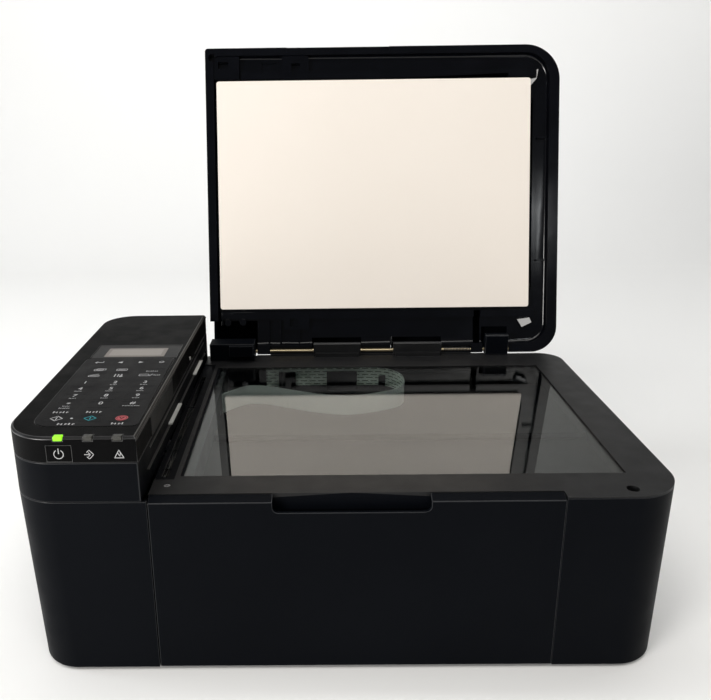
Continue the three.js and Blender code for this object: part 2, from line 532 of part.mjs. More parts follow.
function adfCover() {
  const [x0, x1, z0, z1] = [LID_X[0], ADF_SPLIT - COVER_SWING, 171.2, CLOSED_HEIGHT];
  const profile = (inset, right) => {
    const shape = new THREE.Shape();
    const radius = 9 - inset;
    shape.moveTo(x0 + inset, z0 - inset);
    shape.lineTo(right, z0 - inset);
    shape.lineTo(right, z1 - inset);
    shape.absarc(x0 + inset + radius, z1 - inset - radius, radius, Math.PI / 2, Math.PI, false);
    return shape;
  };
  const shell = cut(prismY(profile(0, x1), 0, DEPTH), prismY(profile(WALL, x1 + 5), WALL, DEPTH - WALL));
  const armX = [ADF_HINGE.x - 4, ADF_HINGE.x + 3];
  const arms = [[2, 6], [260, 293]].map((y) => block(...armX, ...y, ADF_HINGE.z - 2, 187));
  const pins = [[3, 10.4], [255.6, 262]].map((y) => rodY(...y, ADF_HINGE.x, ADF_HINGE.z, ADF_PIN));
  return join(shell, ...arms, ...pins);
}

// the document tray closes over the input floor and folds out to the right
function adfTray() {
  const { x, z } = TRAY_HINGE;
  const board = block(ADF_SPLIT, x + 2.5, 0.6, DEPTH - 0.6, z + 0.5, CLOSED_HEIGHT - 0.6);
  const skirts = [[0.6, 3], [DEPTH - 3, DEPTH - 0.6]].map((y) => block(ADF_SPLIT, x + 1, ...y, 171.4, z + 1));
  const ribs = [40, 90, 140, 190, 240].map((y) => block(ADF_SPLIT + 6, x - 8, y, y + 1.6, z - 1.5, z + 1));
  const grip = block(ADF_SPLIT - 1, ADF_SPLIT + 4, 122, 172, z - 3, z + 2.4);
  const slots = ADF_ENDS.map(([a, b]) => block(x - 8, x + 5, a - 0.5, b + 0.5, z - 4, CLOSED_HEIGHT));
  const pins = ADF_ENDS.map(([a, b]) => rodY(a - 3, b + 3, x, z, ADF_PIN));
  return join(cut(join(board, ...skirts, ...ribs), grip, ...slots), ...pins);
}

function adfGuide(edge, outward) {
  const ys = (a, b) => [edge + outward * a, edge + outward * b].sort((p, q) => p - q);
  return join(block(-36, 40, ...ys(0, 1.8), 170.3, 180.6), block(-36, 40, ...ys(0, 10), 170.3, 171.8));
}

piece(lid, 'lid_inner_frame', 'glossBlack', lidInnerFrame());
piece(lid, 'lid_outer_shell', 'caseBlack', lidOuterShell());
piece(lid, 'platen_pad', 'cream', block(PAD.x0, PAD.x1, PAD.y0, PAD.y1, 130.8, 134.5));
piece(lid, 'hinge_rod', 'steel', rodX(-100, 180, HINGE.y, HINGE.z, 1.8));
piece(lid, 'adf_frame', 'innerBlack', adfFrame());
piece(lid, 'adf_feed_roller', 'rubber', adfRoller(FEED, 3, 92, 174));
piece(lid, 'adf_pickup_roller', 'rubber', adfRoller(PICKUP, 2.5, 112, 154));
piece(lid, 'adf_cover', 'caseBlack', adfCover());
piece(lid, 'adf_tray', 'caseBlack', adfTray());
piece(lid, 'adf_guide_front', 'frameBlack', adfGuide(25, -1));
piece(lid, 'adf_guide_rear', 'frameBlack', adfGuide(241, 1));

// ---------------------------------------------------------------- print engine
const BAY = { left: -124.5, right: 210 };       // chassis side plates, outer faces
const PAPER_MID = 6;                            // middle of the paper path
const FEED_AXLE = { y: 165, z: 45 };
const EXIT_AXLE = { y: 112, z: 45 };
const GEAR = { x0: -131, x1: -126, module: 1, feed: 36, idler: 20, exit: 30, pinion: 14 };
const PINION_ANGLE = THREE.MathUtils.degToRad(40);
const BELT = { z: 66, y0: 186, y1: 191, left: -108, right: 190, radius: 6 };
const ARM = { y: 212, z: 52, rollerY: 180, rollerZ: 19.5 };
const CARRIAGE = { x0: 127, x1: 203, y0: 118, y1: 181, z0: 60, z1: 92 };

const pitch = (teeth) => (GEAR.module * teeth) / 2;
const IDLER_AXLE = { y: FEED_AXLE.y - pitch(GEAR.feed) - pitch(GEAR.idler), z: FEED_AXLE.z };
const PINION_AXLE = {
  y: FEED_AXLE.y + Math.cos(PINION_ANGLE) * (pitch(GEAR.feed) + pitch(GEAR.pinion)),
  z: FEED_AXLE.z + Math.sin(PINION_ANGLE) * (pitch(GEAR.feed) + pitch(GEAR.pinion)),
};

// where the driven wheel's first tooth stands so that it meshes with its driver along a line
function meshPhase(driverPhase, driverTeeth, teeth, line) {
  const tooth = ((line - driverPhase) * driverTeeth) / (2 * Math.PI);
  return line + Math.PI - ((0.5 - tooth) * 2 * Math.PI) / teeth;
}

function spurGear(teeth, phase, axle, hub) {
  const { module: m } = GEAR;
  const radius = pitch(teeth);
  const points = [];
  const step = (2 * Math.PI) / teeth;
  for (let i = 0; i < teeth; i += 1) {
    const middle = phase + i * step;
    for (const [r, off] of [[radius - 1.2 * m, -0.33], [radius + 0.85 * m, -0.1], [radius + 0.85 * m, 0.1],
      [radius - 1.2 * m, 0.33]]) {
      const angle = middle + off * step;
      points.push([axle.y + r * Math.cos(angle), axle.z + r * Math.sin(angle)]);
    }
  }
  return join(prismX(polygon(points), GEAR.x0, GEAR.x1), rodX(...hub, axle.y, axle.z, 2.5));
}

const PHASE = { feed: 0.06 };
PHASE.idler = meshPhase(PHASE.feed, GEAR.feed, GEAR.idler, Math.PI);
PHASE.exit = meshPhase(PHASE.idler, GEAR.idler, GEAR.exit, Math.PI);
PHASE.pinion = meshPhase(PHASE.feed, GEAR.feed, GEAR.pinion, PINION_ANGLE);

function chassis() {
  const { left, right } = BAY;
  const sides = [[left, left + 2], [right - 2, right]].map((x) => block(...x, 100, 198, 30, 96.4));
  const beam = block(left, right, 196, 198, 56, 96.4);
  const railLip = block(left, right, 183, 197, 88, 90);
  const brackets = [-28, 37].map((x) => block(x, x + 3, 197, 219, 46, 62));
  const idlerPost = rodY(185.8, 197, BELT.right, BELT.z, BELT.radius - 0.2);
  const holes = [
    rodX(left - 1, right + 1, FEED_AXLE.y, FEED_AXLE.z, 3.6),
    rodX(left - 1, right + 1, EXIT_AXLE.y, EXIT_AXLE.z, 3.1),
    rodX(left - 1, left + 3, IDLER_AXLE.y, IDLER_AXLE.z, 2.6),
    rodX(-29, 41, ARM.y, ARM.z, 3.1),
    rodY(190, 200, BELT.left, BELT.z, 3),
  ];
  return cut(join(...sides, beam, railLip, ...brackets, idlerPost), ...holes);
}

function feedRoller() {
  const { y, z } = FEED_AXLE;
  return join(spurGear(GEAR.feed, PHASE.feed, FEED_AXLE, [-128, -125]), rodX(-128, 212, y, z, 3.5),
    rodX(BAY.left + 3, BAY.right - 3, y, z, 5));
}

function dischargeRoller() {
  const { y, z } = EXIT_AXLE;
  const tyres = [-90, -42, PAPER_MID, 54, 102].map((x) => rodX(x - 6, x + 6, y, z, 4.6, 16));
  return join(spurGear(GEAR.exit, PHASE.exit, EXIT_AXLE, [-128, -125]), rodX(-128, 211, y, z, 3), ...tyres);
}

function printPlaten() {
  const bed = block(-113, 125, 120, 156, 44, 47);
  const ribs = [];
  for (let i = 0; i < 9; i += 1) ribs.push(block(-106 + 27.5 * i, -104.4 + 27.5 * i, 121, 155, 46, 49));
  return join(bed, ...ribs);
}

function printCarriage() {
  const { x0, x1, y0, y1, z0, z1 } = CARRIAGE;
  const body = block(x0, x1, y0, y1, z0, z1);
  const pocketX = [0, 36].map((step) => [x0 + 3 + step, x0 + 37 + step]);
  const pockets = pocketX.map((x) => block(...x, y0 - 1, y1 - 10, z0 + 3, z1 + 1));
  const nozzles = [0, 1].map((i) => block(x0 + 12 + 36 * i, x0 + 28 + 36 * i, 132, 152, z0 - 1, z0 + 4));
  const hooks = [[91.2, 94.6], [83.4, 86.8]].map(([a, b]) => block(x0 + 4, x1 - 4, y1 - 2, 192, a, b));
  const roof = block(x0 + 4, x1 - 4, y1 - 6, y1, z1 - 2, 94.6);
  const clamp = block(150, 180, y1 - 1, 185.6, 62, 70);
  return cut(join(body, ...hooks, roof, clamp), ...pockets, ...nozzles);
}

function cartridge(index) {
  const x0 = CARRIAGE.x0 + 3.5 + 36 * index;
  const side = polygon([[120, 64], [124, 63.3], [168, 63.3], [170.5, 70], [170.5, 92], [150, 92], [120, 84]]);
  return join(prismX(side, x0, x0 + 33), block(x0 + 9, x0 + 24, 132.5, 151.5, 61, 64));
}

// a belt loop round two wheels, drawn in x and z
function beltLoop() {
  const { left, right, z, y0, y1, radius } = BELT;
  const loop = (r) => {
    const shape = new THREE.Shape();
    shape.moveTo(left, z - r);
    shape.lineTo(right, z - r);
    shape.absarc(right, z, r, -Math.PI / 2, Math.PI / 2, false);
    shape.absarc(left, z, r, Math.PI / 2, Math.PI * 1.5, false);
    return shape;
  };
  return cut(prismY(loop(radius + 1.4), y0, y1), prismY(loop(radius + 0.25), y0 - 1, y1 + 1));
}

function motor(x, y, z, alongX) {
  const body = alongX ? rodX(x, x + 28, y, z, 13.5) : rodY(y, y + 26, x, z, 13.5);
  return cut(body, alongX ? rodX(x + 20, x + 30, y, z, 1.65, 16) : rodY(y - 1, y + 8, x, z, 1.65, 16));
}

function feedPinion() {
  const { y, z } = PINION_AXLE;
  return join(spurGear(GEAR.pinion, PHASE.pinion, PINION_AXLE, [-129, -127]), rodX(-139, -127, y, z, 1.5, 16));
}

function pickupArm() {
  const { y, z, rollerY, rollerZ } = ARM;
  const bar = polygon([[y + 5, z], [y - 3, z + 5], [rollerY - 5, rollerZ + 3], [rollerY - 2, rollerZ - 4.5],
    [rollerY + 4, rollerZ - 4.5], [y + 4, z - 5]]);
  return cut(join(prismX(bar, -6, 2), rodX(-30.5, 42.5, y, z, 3)), rodX(-7, 3, rollerY, rollerZ, 2.1, 16));
}

function pickupRoller() {
  const { rollerY: y, rollerZ: z } = ARM;
  return join(rodX(2.6, 26, y, z, 9, 28), rodX(-7, 4, y, z, 2, 16));
}

function purgeUnit() {
  const body = block(140, 196, 118.5, 156, 34, 54);
  const caps = [145, 172].map(
    (x) => cut(block(x, x + 20, 128, 154, 52, 58), block(x + 2, x + 18, 130, 152, 54, 60)));
  return join(body, ...caps, block(136.5, 142, 122, 150, 40, 57));
}

piece(base, 'chassis', 'steel', chassis());
piece(base, 'feed_roller', 'rubber', feedRoller());
piece(base, 'discharge_roller', 'rubber', dischargeRoller());
piece(base, 'idler_gear', 'cream', spurGear(GEAR.idler, PHASE.idler, IDLER_AXLE, [-131, -123]));
piece(base, 'feed_pinion', 'cream', feedPinion());
piece(base, 'feed_motor', 'steel', motor(-162, PINION_AXLE.y, PINION_AXLE.z, true));
piece(base, 'print_platen', 'innerBlack', printPlaten());
piece(base, 'print_carriage', 'innerBlack', printCarriage());
piece(base, 'black_cartridge', 'blackInk', cartridge(0));
piece(base, 'colour_cartridge', 'grey', cartridge(1));
piece(base, 'timing_belt', 'rubber', beltLoop());
piece(base, 'carriage_motor', 'steel', motor(BELT.left, 198.4, BELT.z, false));
piece(base, 'carriage_pulley', 'cream', join(rodY(BELT.y0, BELT.y1, BELT.left, BELT.z, BELT.radius),
  rodY(BELT.y0, 205, BELT.left, BELT.z, 1.5, 16)));
piece(base, 'pickup_arm', 'innerBlack', pickupArm());
piece(base, 'pickup_roller', 'rubber', pickupRoller());
piece(base, 'purge_unit', 'grey', purgeUnit());

// ---------------------------------------------------------------- paper trays
const TRAY = { x0: -121, x1: 133, y0: 10.5, y1: 240, z0: 6, floor: 9 };
const SHEET = 216;                              // widest sheet between the side guides

function paperTray() {
  const { x0, x1, y0, y1, z0, floor } = TRAY;
  const rims = [[x0, x0 + 2], [x1 - 2, x1]].map((x) => block(...x, y0, y1, z0, 28));
  return join(block(x0, x1, y0, y1, z0, floor), ...rims, block(x0, x1, y1 - 2, y1, z0, 28));
}

function paperGuide(side) {
  const edge = PAPER_MID + (side * SHEET) / 2;
  const xs = (a, b) => [edge + side * a, edge + side * b].sort((p, q) => p - q);
  return join(block(...xs(0.4, 2.4), 60, 150, TRAY.floor + 0.3, 27), block(...xs(0.4, 12), 60, 150,
    TRAY.floor + 0.3, TRAY.floor + 2));
}

function outputTray() {
  const { x0, x1 } = TRAY;
  const floor = block(x0, x1, 12, 104, 34, 37);
  const walls = [[x0, x0 + 2], [x1 - 2, x1]].map((x) => block(...x, 12, 98, 34, 60));
  const ribs = [-80, -37, 6, 49, 92].map((x) => block(x - 1, x + 1, 14, 102, 36, 38.2));
  return join(floor, ...walls, ...ribs);
}

piece(base, 'paper_tray', 'innerBlack', paperTray());
piece(base, 'paper_guide_left', 'frameBlack', paperGuide(-1));
piece(base, 'paper_guide_right', 'frameBlack', paperGuide(1));
piece(base, 'output_tray', 'innerBlack', outputTray());

// ---------------------------------------------------------------- electronics
function mainBoard() {
  const sheet = block(-183, -181.2, 60, 268, 12, 112);
  const chips = [[90, 40], [140, 70], [200, 60]].map(([y, z]) => block(-182, -178, y, y + 24, z, z + 24));
  const port = block(-183, USB.x1, 262, 287.4, USB.z0, USB.z1);
  const socket = block(USB.x0 + 2, USB.x1 - 2, 274, 290, USB.z0 + 1.8, USB.z1 - 1.8);
  return cut(join(sheet, ...chips, port), socket);
}

function powerSupply() {
  const { x0, x1, z0, z1 } = INLET;
  const body = block(136, 200, 206, 281, 9, 50);
  const nose = block(x0, x1, 280, 287.8, z0, z1);
  const [mx, mz] = [(x0 + x1) / 2, (z0 + z1) / 2];
  const wellEnds = [-4, 4].map((d) => rodY(277, 290, mx + d, mz, 4));
  const well = join(block(mx - 4, mx + 4, 277, 290, mz - 4, mz + 4), ...wellEnds);
  const pins = [-3.6, 3.6].map((d) => rodY(275, 286, mx + d, mz, 1.1, 12));
  return join(cut(join(body, nose), well), ...pins);
}

piece(base, 'main_board', 'board', mainBoard());
piece(base, 'power_supply', 'innerBlack', powerSupply());

// ---------------------------------------------------------------- origin
// stood on z = 0 with the middle of the bounding box over the origin
const box = new THREE.Box3();
printer.add(base);
printer.updateMatrixWorld(true);
printer.traverse((mesh) => {
  if (mesh.isMesh) box.expandByObject(mesh, true);
});
base.position.set(0, -(box.min.y + box.max.y) / 2, 0);

export default printer;
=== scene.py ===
# Looks of the all-in-one printer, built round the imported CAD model. Lengths below are in
# millimetres in the design's own axes: x centred, y back from the front face, z up.
import json
import math

import bmesh
import bpy
from mathutils import Matrix, Vector


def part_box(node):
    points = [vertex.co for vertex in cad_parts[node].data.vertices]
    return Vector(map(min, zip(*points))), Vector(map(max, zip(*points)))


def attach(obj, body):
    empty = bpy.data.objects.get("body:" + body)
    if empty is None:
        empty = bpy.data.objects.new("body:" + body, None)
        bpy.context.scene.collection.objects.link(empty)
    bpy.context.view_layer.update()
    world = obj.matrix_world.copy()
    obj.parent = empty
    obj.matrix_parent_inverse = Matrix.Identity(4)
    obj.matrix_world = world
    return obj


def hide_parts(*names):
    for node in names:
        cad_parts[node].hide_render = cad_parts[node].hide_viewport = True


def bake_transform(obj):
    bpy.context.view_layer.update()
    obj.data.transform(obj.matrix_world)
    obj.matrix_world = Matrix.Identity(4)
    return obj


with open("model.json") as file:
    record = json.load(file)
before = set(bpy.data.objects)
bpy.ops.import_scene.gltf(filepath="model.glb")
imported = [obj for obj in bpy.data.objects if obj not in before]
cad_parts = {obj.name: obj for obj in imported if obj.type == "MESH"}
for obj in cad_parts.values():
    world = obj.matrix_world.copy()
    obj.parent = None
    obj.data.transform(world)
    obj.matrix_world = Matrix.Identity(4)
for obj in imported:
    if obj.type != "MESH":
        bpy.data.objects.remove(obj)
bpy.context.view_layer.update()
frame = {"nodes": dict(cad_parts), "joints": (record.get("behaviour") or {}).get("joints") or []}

MM = 0.001
NODES = frame["nodes"]
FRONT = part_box("panel_base")[0].y                 # the front face, y = 0 of the design axes
JOINTS = {joint["name"]: joint for joint in frame["joints"]}


# ------------------------------------------------------------------ places
def place(x, y, z):
    """A point of the design axes, in the row frame."""
    return Vector((x * MM, FRONT + y * MM, z * MM))


BODY = Matrix.Translation((0, FRONT, 0)) @ Matrix.Scale(MM, 4)


def open_lid():
    """From the design axes with the lid closed to the row frame with the lid open."""
    joint = JOINTS["lid_hinge"]
    pivot = Matrix.Translation(joint["pos_m"])
    turn = Matrix.Rotation(-math.radians(joint["range_deg"][1]), 4, "X")
    return pivot @ turn @ pivot.inverted() @ BODY


LID = open_lid()
POD_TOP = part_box("keypad_overlay")[1].z / MM


# ------------------------------------------------------------------ node helpers
class Graph:
    """A material's node tree, with short ways to add and join nodes."""

    def __init__(self, name):
        self.material = bpy.data.materials.new(name)
        self.material.use_nodes = True
        self.tree = self.material.node_tree
        self.shader = self.tree.nodes["Principled BSDF"]

    def add(self, kind, **values):
        node = self.tree.nodes.new(kind)
        for key, value in values.items():
            setattr(node, key, value)
        return node

    def link(self, source, target):
        self.tree.links.new(source, target)

    def coords(self):
        return self.add("ShaderNodeTexCoord").outputs["Object"]

    def noise(self, scale, detail=2.0, rough=0.5, stretch=None):
        vector = self.coords()
        if stretch:
            mapping = self.add("ShaderNodeMapping")
            mapping.inputs["Scale"].default_value = stretch
            self.link(vector, mapping.inputs["Vector"])
            vector = mapping.outputs["Vector"]
        node = self.add("ShaderNodeTexNoise")
        node.inputs["Scale"].default_value = scale
        node.inputs["Detail"].default_value = detail
        node.inputs["Roughness"].default_value = rough
        self.link(vector, node.inputs["Vector"])
        return node.outputs["Fac"]

    def ramp(self, source, *stops):
        node = self.add("ShaderNodeValToRGB")
        elements = node.color_ramp.elements
        while len(elements) < len(stops):
            elements.new(0.5)
        for element, (position, value) in zip(elements, stops):
            element.position = position
            element.color = (*value, 1) if isinstance(value, tuple) else (value, value, value, 1)
        self.link(source, node.inputs["Fac"])
        return node.outputs["Color"]

    def mix(self, factor, first, second):
        node = self.add("ShaderNodeMix", data_type="RGBA")
        for socket, value in ((0, factor), (6, first), (7, second)):
            if isinstance(value, (int, float)):
                node.inputs[socket].default_value = value
            elif isinstance(value, tuple):
                node.inputs[socket].default_value = (*value, 1)
            else:
                self.link(value, node.inputs[socket])
        return node.outputs[2]

    def bump(self, height, strength, distance):
        node = self.add("ShaderNodeBump")
        node.inputs["Strength"].default_value = strength
        node.inputs["Distance"].default_value = distance
        self.link(height, node.inputs["Height"])
        self.link(node.outputs["Normal"], self.shader.inputs["Normal"])

    def set(self, **values):
        names = {"roughness": "Roughness", "metallic": "Metallic", "ior": "IOR",
                 "transmission": "Transmission Weight", "specular": "Specular IOR Level",
                 "glow": "Emission Strength"}
        for key, value in values.items():
            self.shader.inputs[names[key]].default_value = value


def moulded(name, dark, light, roughness, grain=0.35, specular=0.5, dust=0.0):
    """Moulded plastic with a fine spark-eroded grain, a little tonal drift and, if wanted, dust."""
    g = Graph(name)
    drift = g.noise(9, 3)
    color = g.mix(g.ramp(drift, (0.3, 0.0), (0.7, 1.0)), dark, light)
    fine = g.noise(2600, 2, 0.6)
    if dust:
        specks = g.ramp(g.noise(1100, 1, 0.4), (0.74, 0.0), (0.78, dust))
        color = g.mix(specks, color, (0.20, 0.19, 0.18))
    g.link(color, g.shader.inputs["Base Color"])
    rough = g.ramp(g.noise(60, 4), (0.3, roughness - 0.05), (0.7, roughness + 0.05))
    g.link(rough, g.shader.inputs["Roughness"])
    g.bump(fine, grain, 0.00012)
    g.set(specular=specular)
    return g.material


def glossy(name, color, roughness=0.09, specular=0.5):
    """Polished black moulding with faint handling smears and a slight flow ripple."""
    g = Graph(name)
    smear = g.noise(35, 5, 0.6, (1, 3, 1))
    g.link(g.mix(g.ramp(smear, (0.35, 0.0), (0.75, 1.0)), color, tuple(1.6 * c for c in color)),
           g.shader.inputs["Base Color"])
    g.link(g.ramp(smear, (0.3, roughness), (0.8, roughness + 0.06)), g.shader.inputs["Roughness"])
    g.bump(g.noise(28, 2), 0.22, 0.0006)
    g.set(specular=specular)
    return g.material


def pad_sheet():
    """The cream sheet on the pad: smooth, very slightly mottled, with a faint all-over dimple."""
    g = Graph("pad_sheet")
    tone = g.ramp(g.noise(6, 2), (0.3, (0.755, 0.695, 0.628)), (0.7, (0.775, 0.715, 0.650)))
    g.link(tone, g.shader.inputs["Base Color"])
    g.link(g.ramp(g.noise(90, 3), (0.3, 0.42), (0.7, 0.52)), g.shader.inputs["Roughness"])
    g.bump(g.noise(700, 2), 0.08, 0.0002)
    return g.material


def clear_glass(name):
    """Clear float glass with a greenish tint and faint smears."""
    g = Graph(name)
    g.shader.inputs["Base Color"].default_value = (0.93, 0.96, 0.95, 1)
    smear = g.noise(14, 4, 0.6, (1, 2.5, 1))
    g.link(g.ramp(smear, (0.45, 0.0), (0.8, 0.035)), g.shader.inputs["Roughness"])
    g.set(transmission=1.0, ior=1.52)
    return g.material


def brushed(name, color, roughness=0.3):
    """Drawn or brushed metal, with fine lines along the x axis."""
    g = Graph(name)
    lines = g.noise(300, 2, 0.5, (0.05, 1, 1))
    g.link(g.mix(g.ramp(lines, (0.35, 0.0), (0.65, 1.0)), color, tuple(0.8 * c for c in color)),
           g.shader.inputs["Base Color"])
    g.link(g.ramp(lines, (0.3, roughness), (0.7, roughness + 0.12)), g.shader.inputs["Roughness"])
    g.set(metallic=1.0)
    return g.material


def rubber(name):
    """Dull black rubber."""
    g = Graph(name)
    g.link(g.ramp(g.noise(400, 3), (0.3, 0.012), (0.7, 0.022)), g.shader.inputs["Base Color"])
    g.bump(g.noise(1500, 2), 0.3, 0.0002)
    g.set(roughness=0.85)
    return g.material


def printed(name, color, roughness=0.5):
    """Screen-printed ink, slightly uneven in density."""
    g = Graph(name)
    ink = g.ramp(g.noise(1800, 2), (0.3, tuple(0.86 * c for c in color)), (0.7, color))
    g.link(ink, g.shader.inputs["Base Color"])
    g.set(roughness=roughness)
    return g.material


LIT_NOSE_X = -170                 # the noses of the light guide left of here are lit


def light_guide():
    """Frosted clear moulding; its left nose, the power light, is lit from behind."""
    g = Graph("light_guide")
    split = g.add("ShaderNodeSeparateXYZ")
    g.link(g.coords(), split.inputs["Vector"])
    lit = g.add("ShaderNodeMath", operation="LESS_THAN")
    g.link(split.outputs["X"], lit.inputs[0])
    lit.inputs[1].default_value = LIT_NOSE_X * MM
    frost = g.ramp(g.noise(900, 2), (0.3, (0.020, 0.020, 0.017)), (0.7, (0.040, 0.039, 0.032)))
    g.link(g.mix(lit.outputs[0], frost, (0.10, 0.30, 0.01)), g.shader.inputs["Base Color"])
    g.link(g.mix(lit.outputs[0], (0.0, 0.0, 0.0), (0.30, 1.0, 0.0)), g.shader.inputs["Emission Color"])
    g.set(roughness=0.3, glow=1.0)
    return g.material


def circuit_board():
    """Green solder mask with a pattern of tracks."""
    g = Graph("circuit_board")
    cells = g.add("ShaderNodeTexVoronoi", feature="DISTANCE_TO_EDGE")
    cells.inputs["Scale"].default_value = 90
    g.link(g.coords(), cells.inputs["Vector"])
    g.link(g.ramp(cells.outputs["Distance"], (0.05, (0.01, 0.09, 0.04)), (0.12, (0.015, 0.05, 0.025))),
           g.shader.inputs["Base Color"])
    g.set(roughness=0.4)
    return g.material


def cable_film():
    """Pale film with rows of printed dashes along its length."""
    g = Graph("cable_film")
    brick = g.add("ShaderNodeTexBrick", offset=0.5)
    brick.inputs["Color1"].default_value = (0.08, 0.11, 0.09, 1)
    brick.inputs["Color2"].default_value = (0.12, 0.15, 0.12, 1)
    brick.inputs["Mortar"].default_value = (0.76, 0.88, 0.78, 1)
    brick.inputs["Scale"].default_value = 1.0
    brick.inputs["Mortar Size"].default_value = 0.0012
    brick.inputs["Brick Width"].default_value = 0.0085
    brick.inputs["Row Height"].default_value = 0.0031
    uv = g.add("ShaderNodeUVMap", uv_map="strip")
    g.link(uv.outputs["UV"], brick.inputs["Vector"])
    g.link(brick.outputs["Color"], g.shader.inputs["Base Color"])
    g.set(roughness=0.32)
    return g.material


# every look, made once
M = {
    "case": moulded("case_black", (0.0013, 0.0018, 0.0030), (0.0019, 0.0025, 0.0039), 0.50, 0.4, 0.045),
    "frame": moulded("frame_black", (0.0026, 0.0027, 0.0032), (0.0036, 0.0037, 0.0042), 0.48, 0.5, 0.34,
                     dust=0.16),
    "pod": moulded("panel_black", (0.0010, 0.0010, 0.0012), (0.0014, 0.0014, 0.0016), 0.52, 0.45, 0.045),
    "inner": moulded("inner_black", (0.0026, 0.0028, 0.0036), (0.0036, 0.0038, 0.0047), 0.55, 0.4, 0.25),
    "overlay": moulded("overlay_film", (0.0030, 0.0030, 0.0035), (0.0040, 0.0040, 0.0045), 0.44, 0.2, 0.07),
    # the case and frame edge looks are lighter than the faces they round: a painted highlight along each
    # rounded edge
    "case_edge_highlight": moulded("case_edge_highlight", (0.006, 0.007, 0.009), (0.009, 0.010, 0.012), 0.36, 0.1, 0.32),
    "frame_edge_highlight": moulded("frame_edge_highlight", (0.010, 0.010, 0.010), (0.014, 0.013, 0.013), 0.36, 0.1, 0.5),
    # the panel's slanted faces, lighter than the panel: a painted highlight on its chamfers
    "pod_slope_highlight": moulded("panel_slope_highlight", (0.004, 0.004, 0.0045), (0.006, 0.006, 0.0065), 0.42, 0.2, 0.12),
    # the panel's edge look, much lighter than the panel: a painted highlight on its rounded edges and side
    # lips
    "pod_edge_highlight": moulded("panel_edge_highlight", (0.012, 0.012, 0.013), (0.018, 0.018, 0.018), 0.33, 0.1, 0.7),
    # darker and duller than the frame: painted shade on the sunk strip beside the panel
    "channel": moulded("sunk_strip_painted_shade", (0.0014, 0.0017, 0.0026), (0.0020, 0.0024, 0.0034), 0.45, 0.2, 0.05),
    "side_plate": moulded("side_plate", (0.010, 0.010, 0.010), (0.014, 0.014, 0.014), 0.5, 0.3, 0.3),
    "grey": moulded("grey_plastic", (0.13, 0.135, 0.14), (0.16, 0.165, 0.17), 0.5, 0.3),
    "natural": moulded("natural_plastic", (0.60, 0.57, 0.49), (0.68, 0.65, 0.57), 0.42, 0.2),
    "carriage": moulded("carriage_grey", (0.016, 0.020, 0.022), (0.022, 0.026, 0.028), 0.5, 0.3),
    "strip": moulded("pale_strip", (0.42, 0.42, 0.40), (0.55, 0.55, 0.52), 0.4, 0.2),
    "gloss": glossy("lid_gloss_black", (0.0007, 0.0009, 0.0018), 0.11, 0.34),
    # lighter than the lid's gloss: a painted highlight along the lid's rounded edges
    "gloss_edge_highlight": glossy("lid_gloss_edge", (0.0080, 0.0090, 0.0120), 0.25, 0.42),
    "web": glossy("lid_web", (0.010, 0.011, 0.012), 0.10, 1.0),
    "gloss_wall": glossy("lid_gloss_wall", (0.0010, 0.0012, 0.0020), 0.38, 0.10),
    "glass": clear_glass("platen_glass"),
    "window": glossy("window_black", (0.0035, 0.0035, 0.0040), 0.32, 0.10),
    "pad": pad_sheet(),
    "foam": moulded("pad_foam", (0.50, 0.49, 0.47), (0.58, 0.57, 0.54), 0.9, 0.6, 0.1),
    "steel": brushed("bright_steel", (0.60, 0.60, 0.61)),
    "dark_steel": brushed("oiled_steel", (0.085, 0.085, 0.09), 0.42),
    "black_steel": brushed("blackened_steel", (0.012, 0.012, 0.013), 0.55),
    # the warm gold tint of this steel is a painted reflection: the gold glint along the rod
    "rod": brushed("hinge_steel_painted_gold_reflection", (0.50, 0.42, 0.27), 0.34),
    "rubber": rubber("roller_rubber"),
    "board": circuit_board(),
    "guide": light_guide(),
    "film": cable_film(),
    "film_back": moulded("film_back", (0.44, 0.50, 0.46), (0.50, 0.56, 0.52), 0.32, 0.05),
    "white": printed("white_ink", (0.48, 0.48, 0.49)),
    "teal": printed("teal_ink", (0.01, 0.30, 0.35)),
    "red": printed("red_ink", (0.36, 0.06, 0.07)),
    "screen": printed("lcd_glass", (0.155, 0.135, 0.12), 0.35),
    "field": printed("lcd_field", (0.235, 0.215, 0.195), 0.35),
}
# edges rubbed smooth shine more than the faces they join; most edge looks are also lighter, a painted
# highlight along the edges
EDGES = {"case": "case_edge_highlight", "frame": "frame_edge_highlight", "pod": "pod_edge_highlight", "overlay": "overlay",
         "gloss": "gloss_edge_highlight"}

# which nodes have which look
NODE_LOOKS = {
    "case": ["left_side_cover", "right_side_cover", "rear_cover", "transport_cover", "front_cover",
             "panel_base", "lid_outer_shell", "adf_cover", "adf_tray", "black_cartridge",
             "hinge_post_left", "hinge_post_right"],
    "frame": ["platen_frame"],
    "pod": ["panel_housing", "power_button", "adf_guide_front", "adf_guide_rear", "paper_guide_left",
            "paper_guide_right"],
    "inner": ["bottom_case", "scanner_tub", "adf_frame", "print_platen", "print_carriage", "pickup_arm",
              "paper_tray", "output_tray", "power_supply"],
    "carriage": ["scan_carriage"],
    "gloss": ["lid_inner_frame"],
    "glass": ["platen_glass", "adf_glass"],
    "window": ["lcd_module"],
    "overlay": ["keypad_overlay"],
    "black_steel": ["scan_rail"],
    "steel": ["chassis", "feed_motor", "carriage_motor"],
    "rod": ["hinge_rod"],
    "rubber": ["foot_front_left", "foot_front_right", "foot_rear_left", "foot_rear_right",
               "adf_feed_roller", "adf_pickup_roller", "feed_roller", "discharge_roller", "pickup_roller",
               "timing_belt", "scan_belt"],
    "natural": ["idler_gear", "feed_pinion", "carriage_pulley", "scan_drive_gear"],
    "grey": ["purge_unit", "colour_cartridge"],
    "board": ["main_board"],
    "guide": ["status_light_guide"],
}
PLAIN_EDGES = {"power_button"}    # the same look on its edges as on its faces
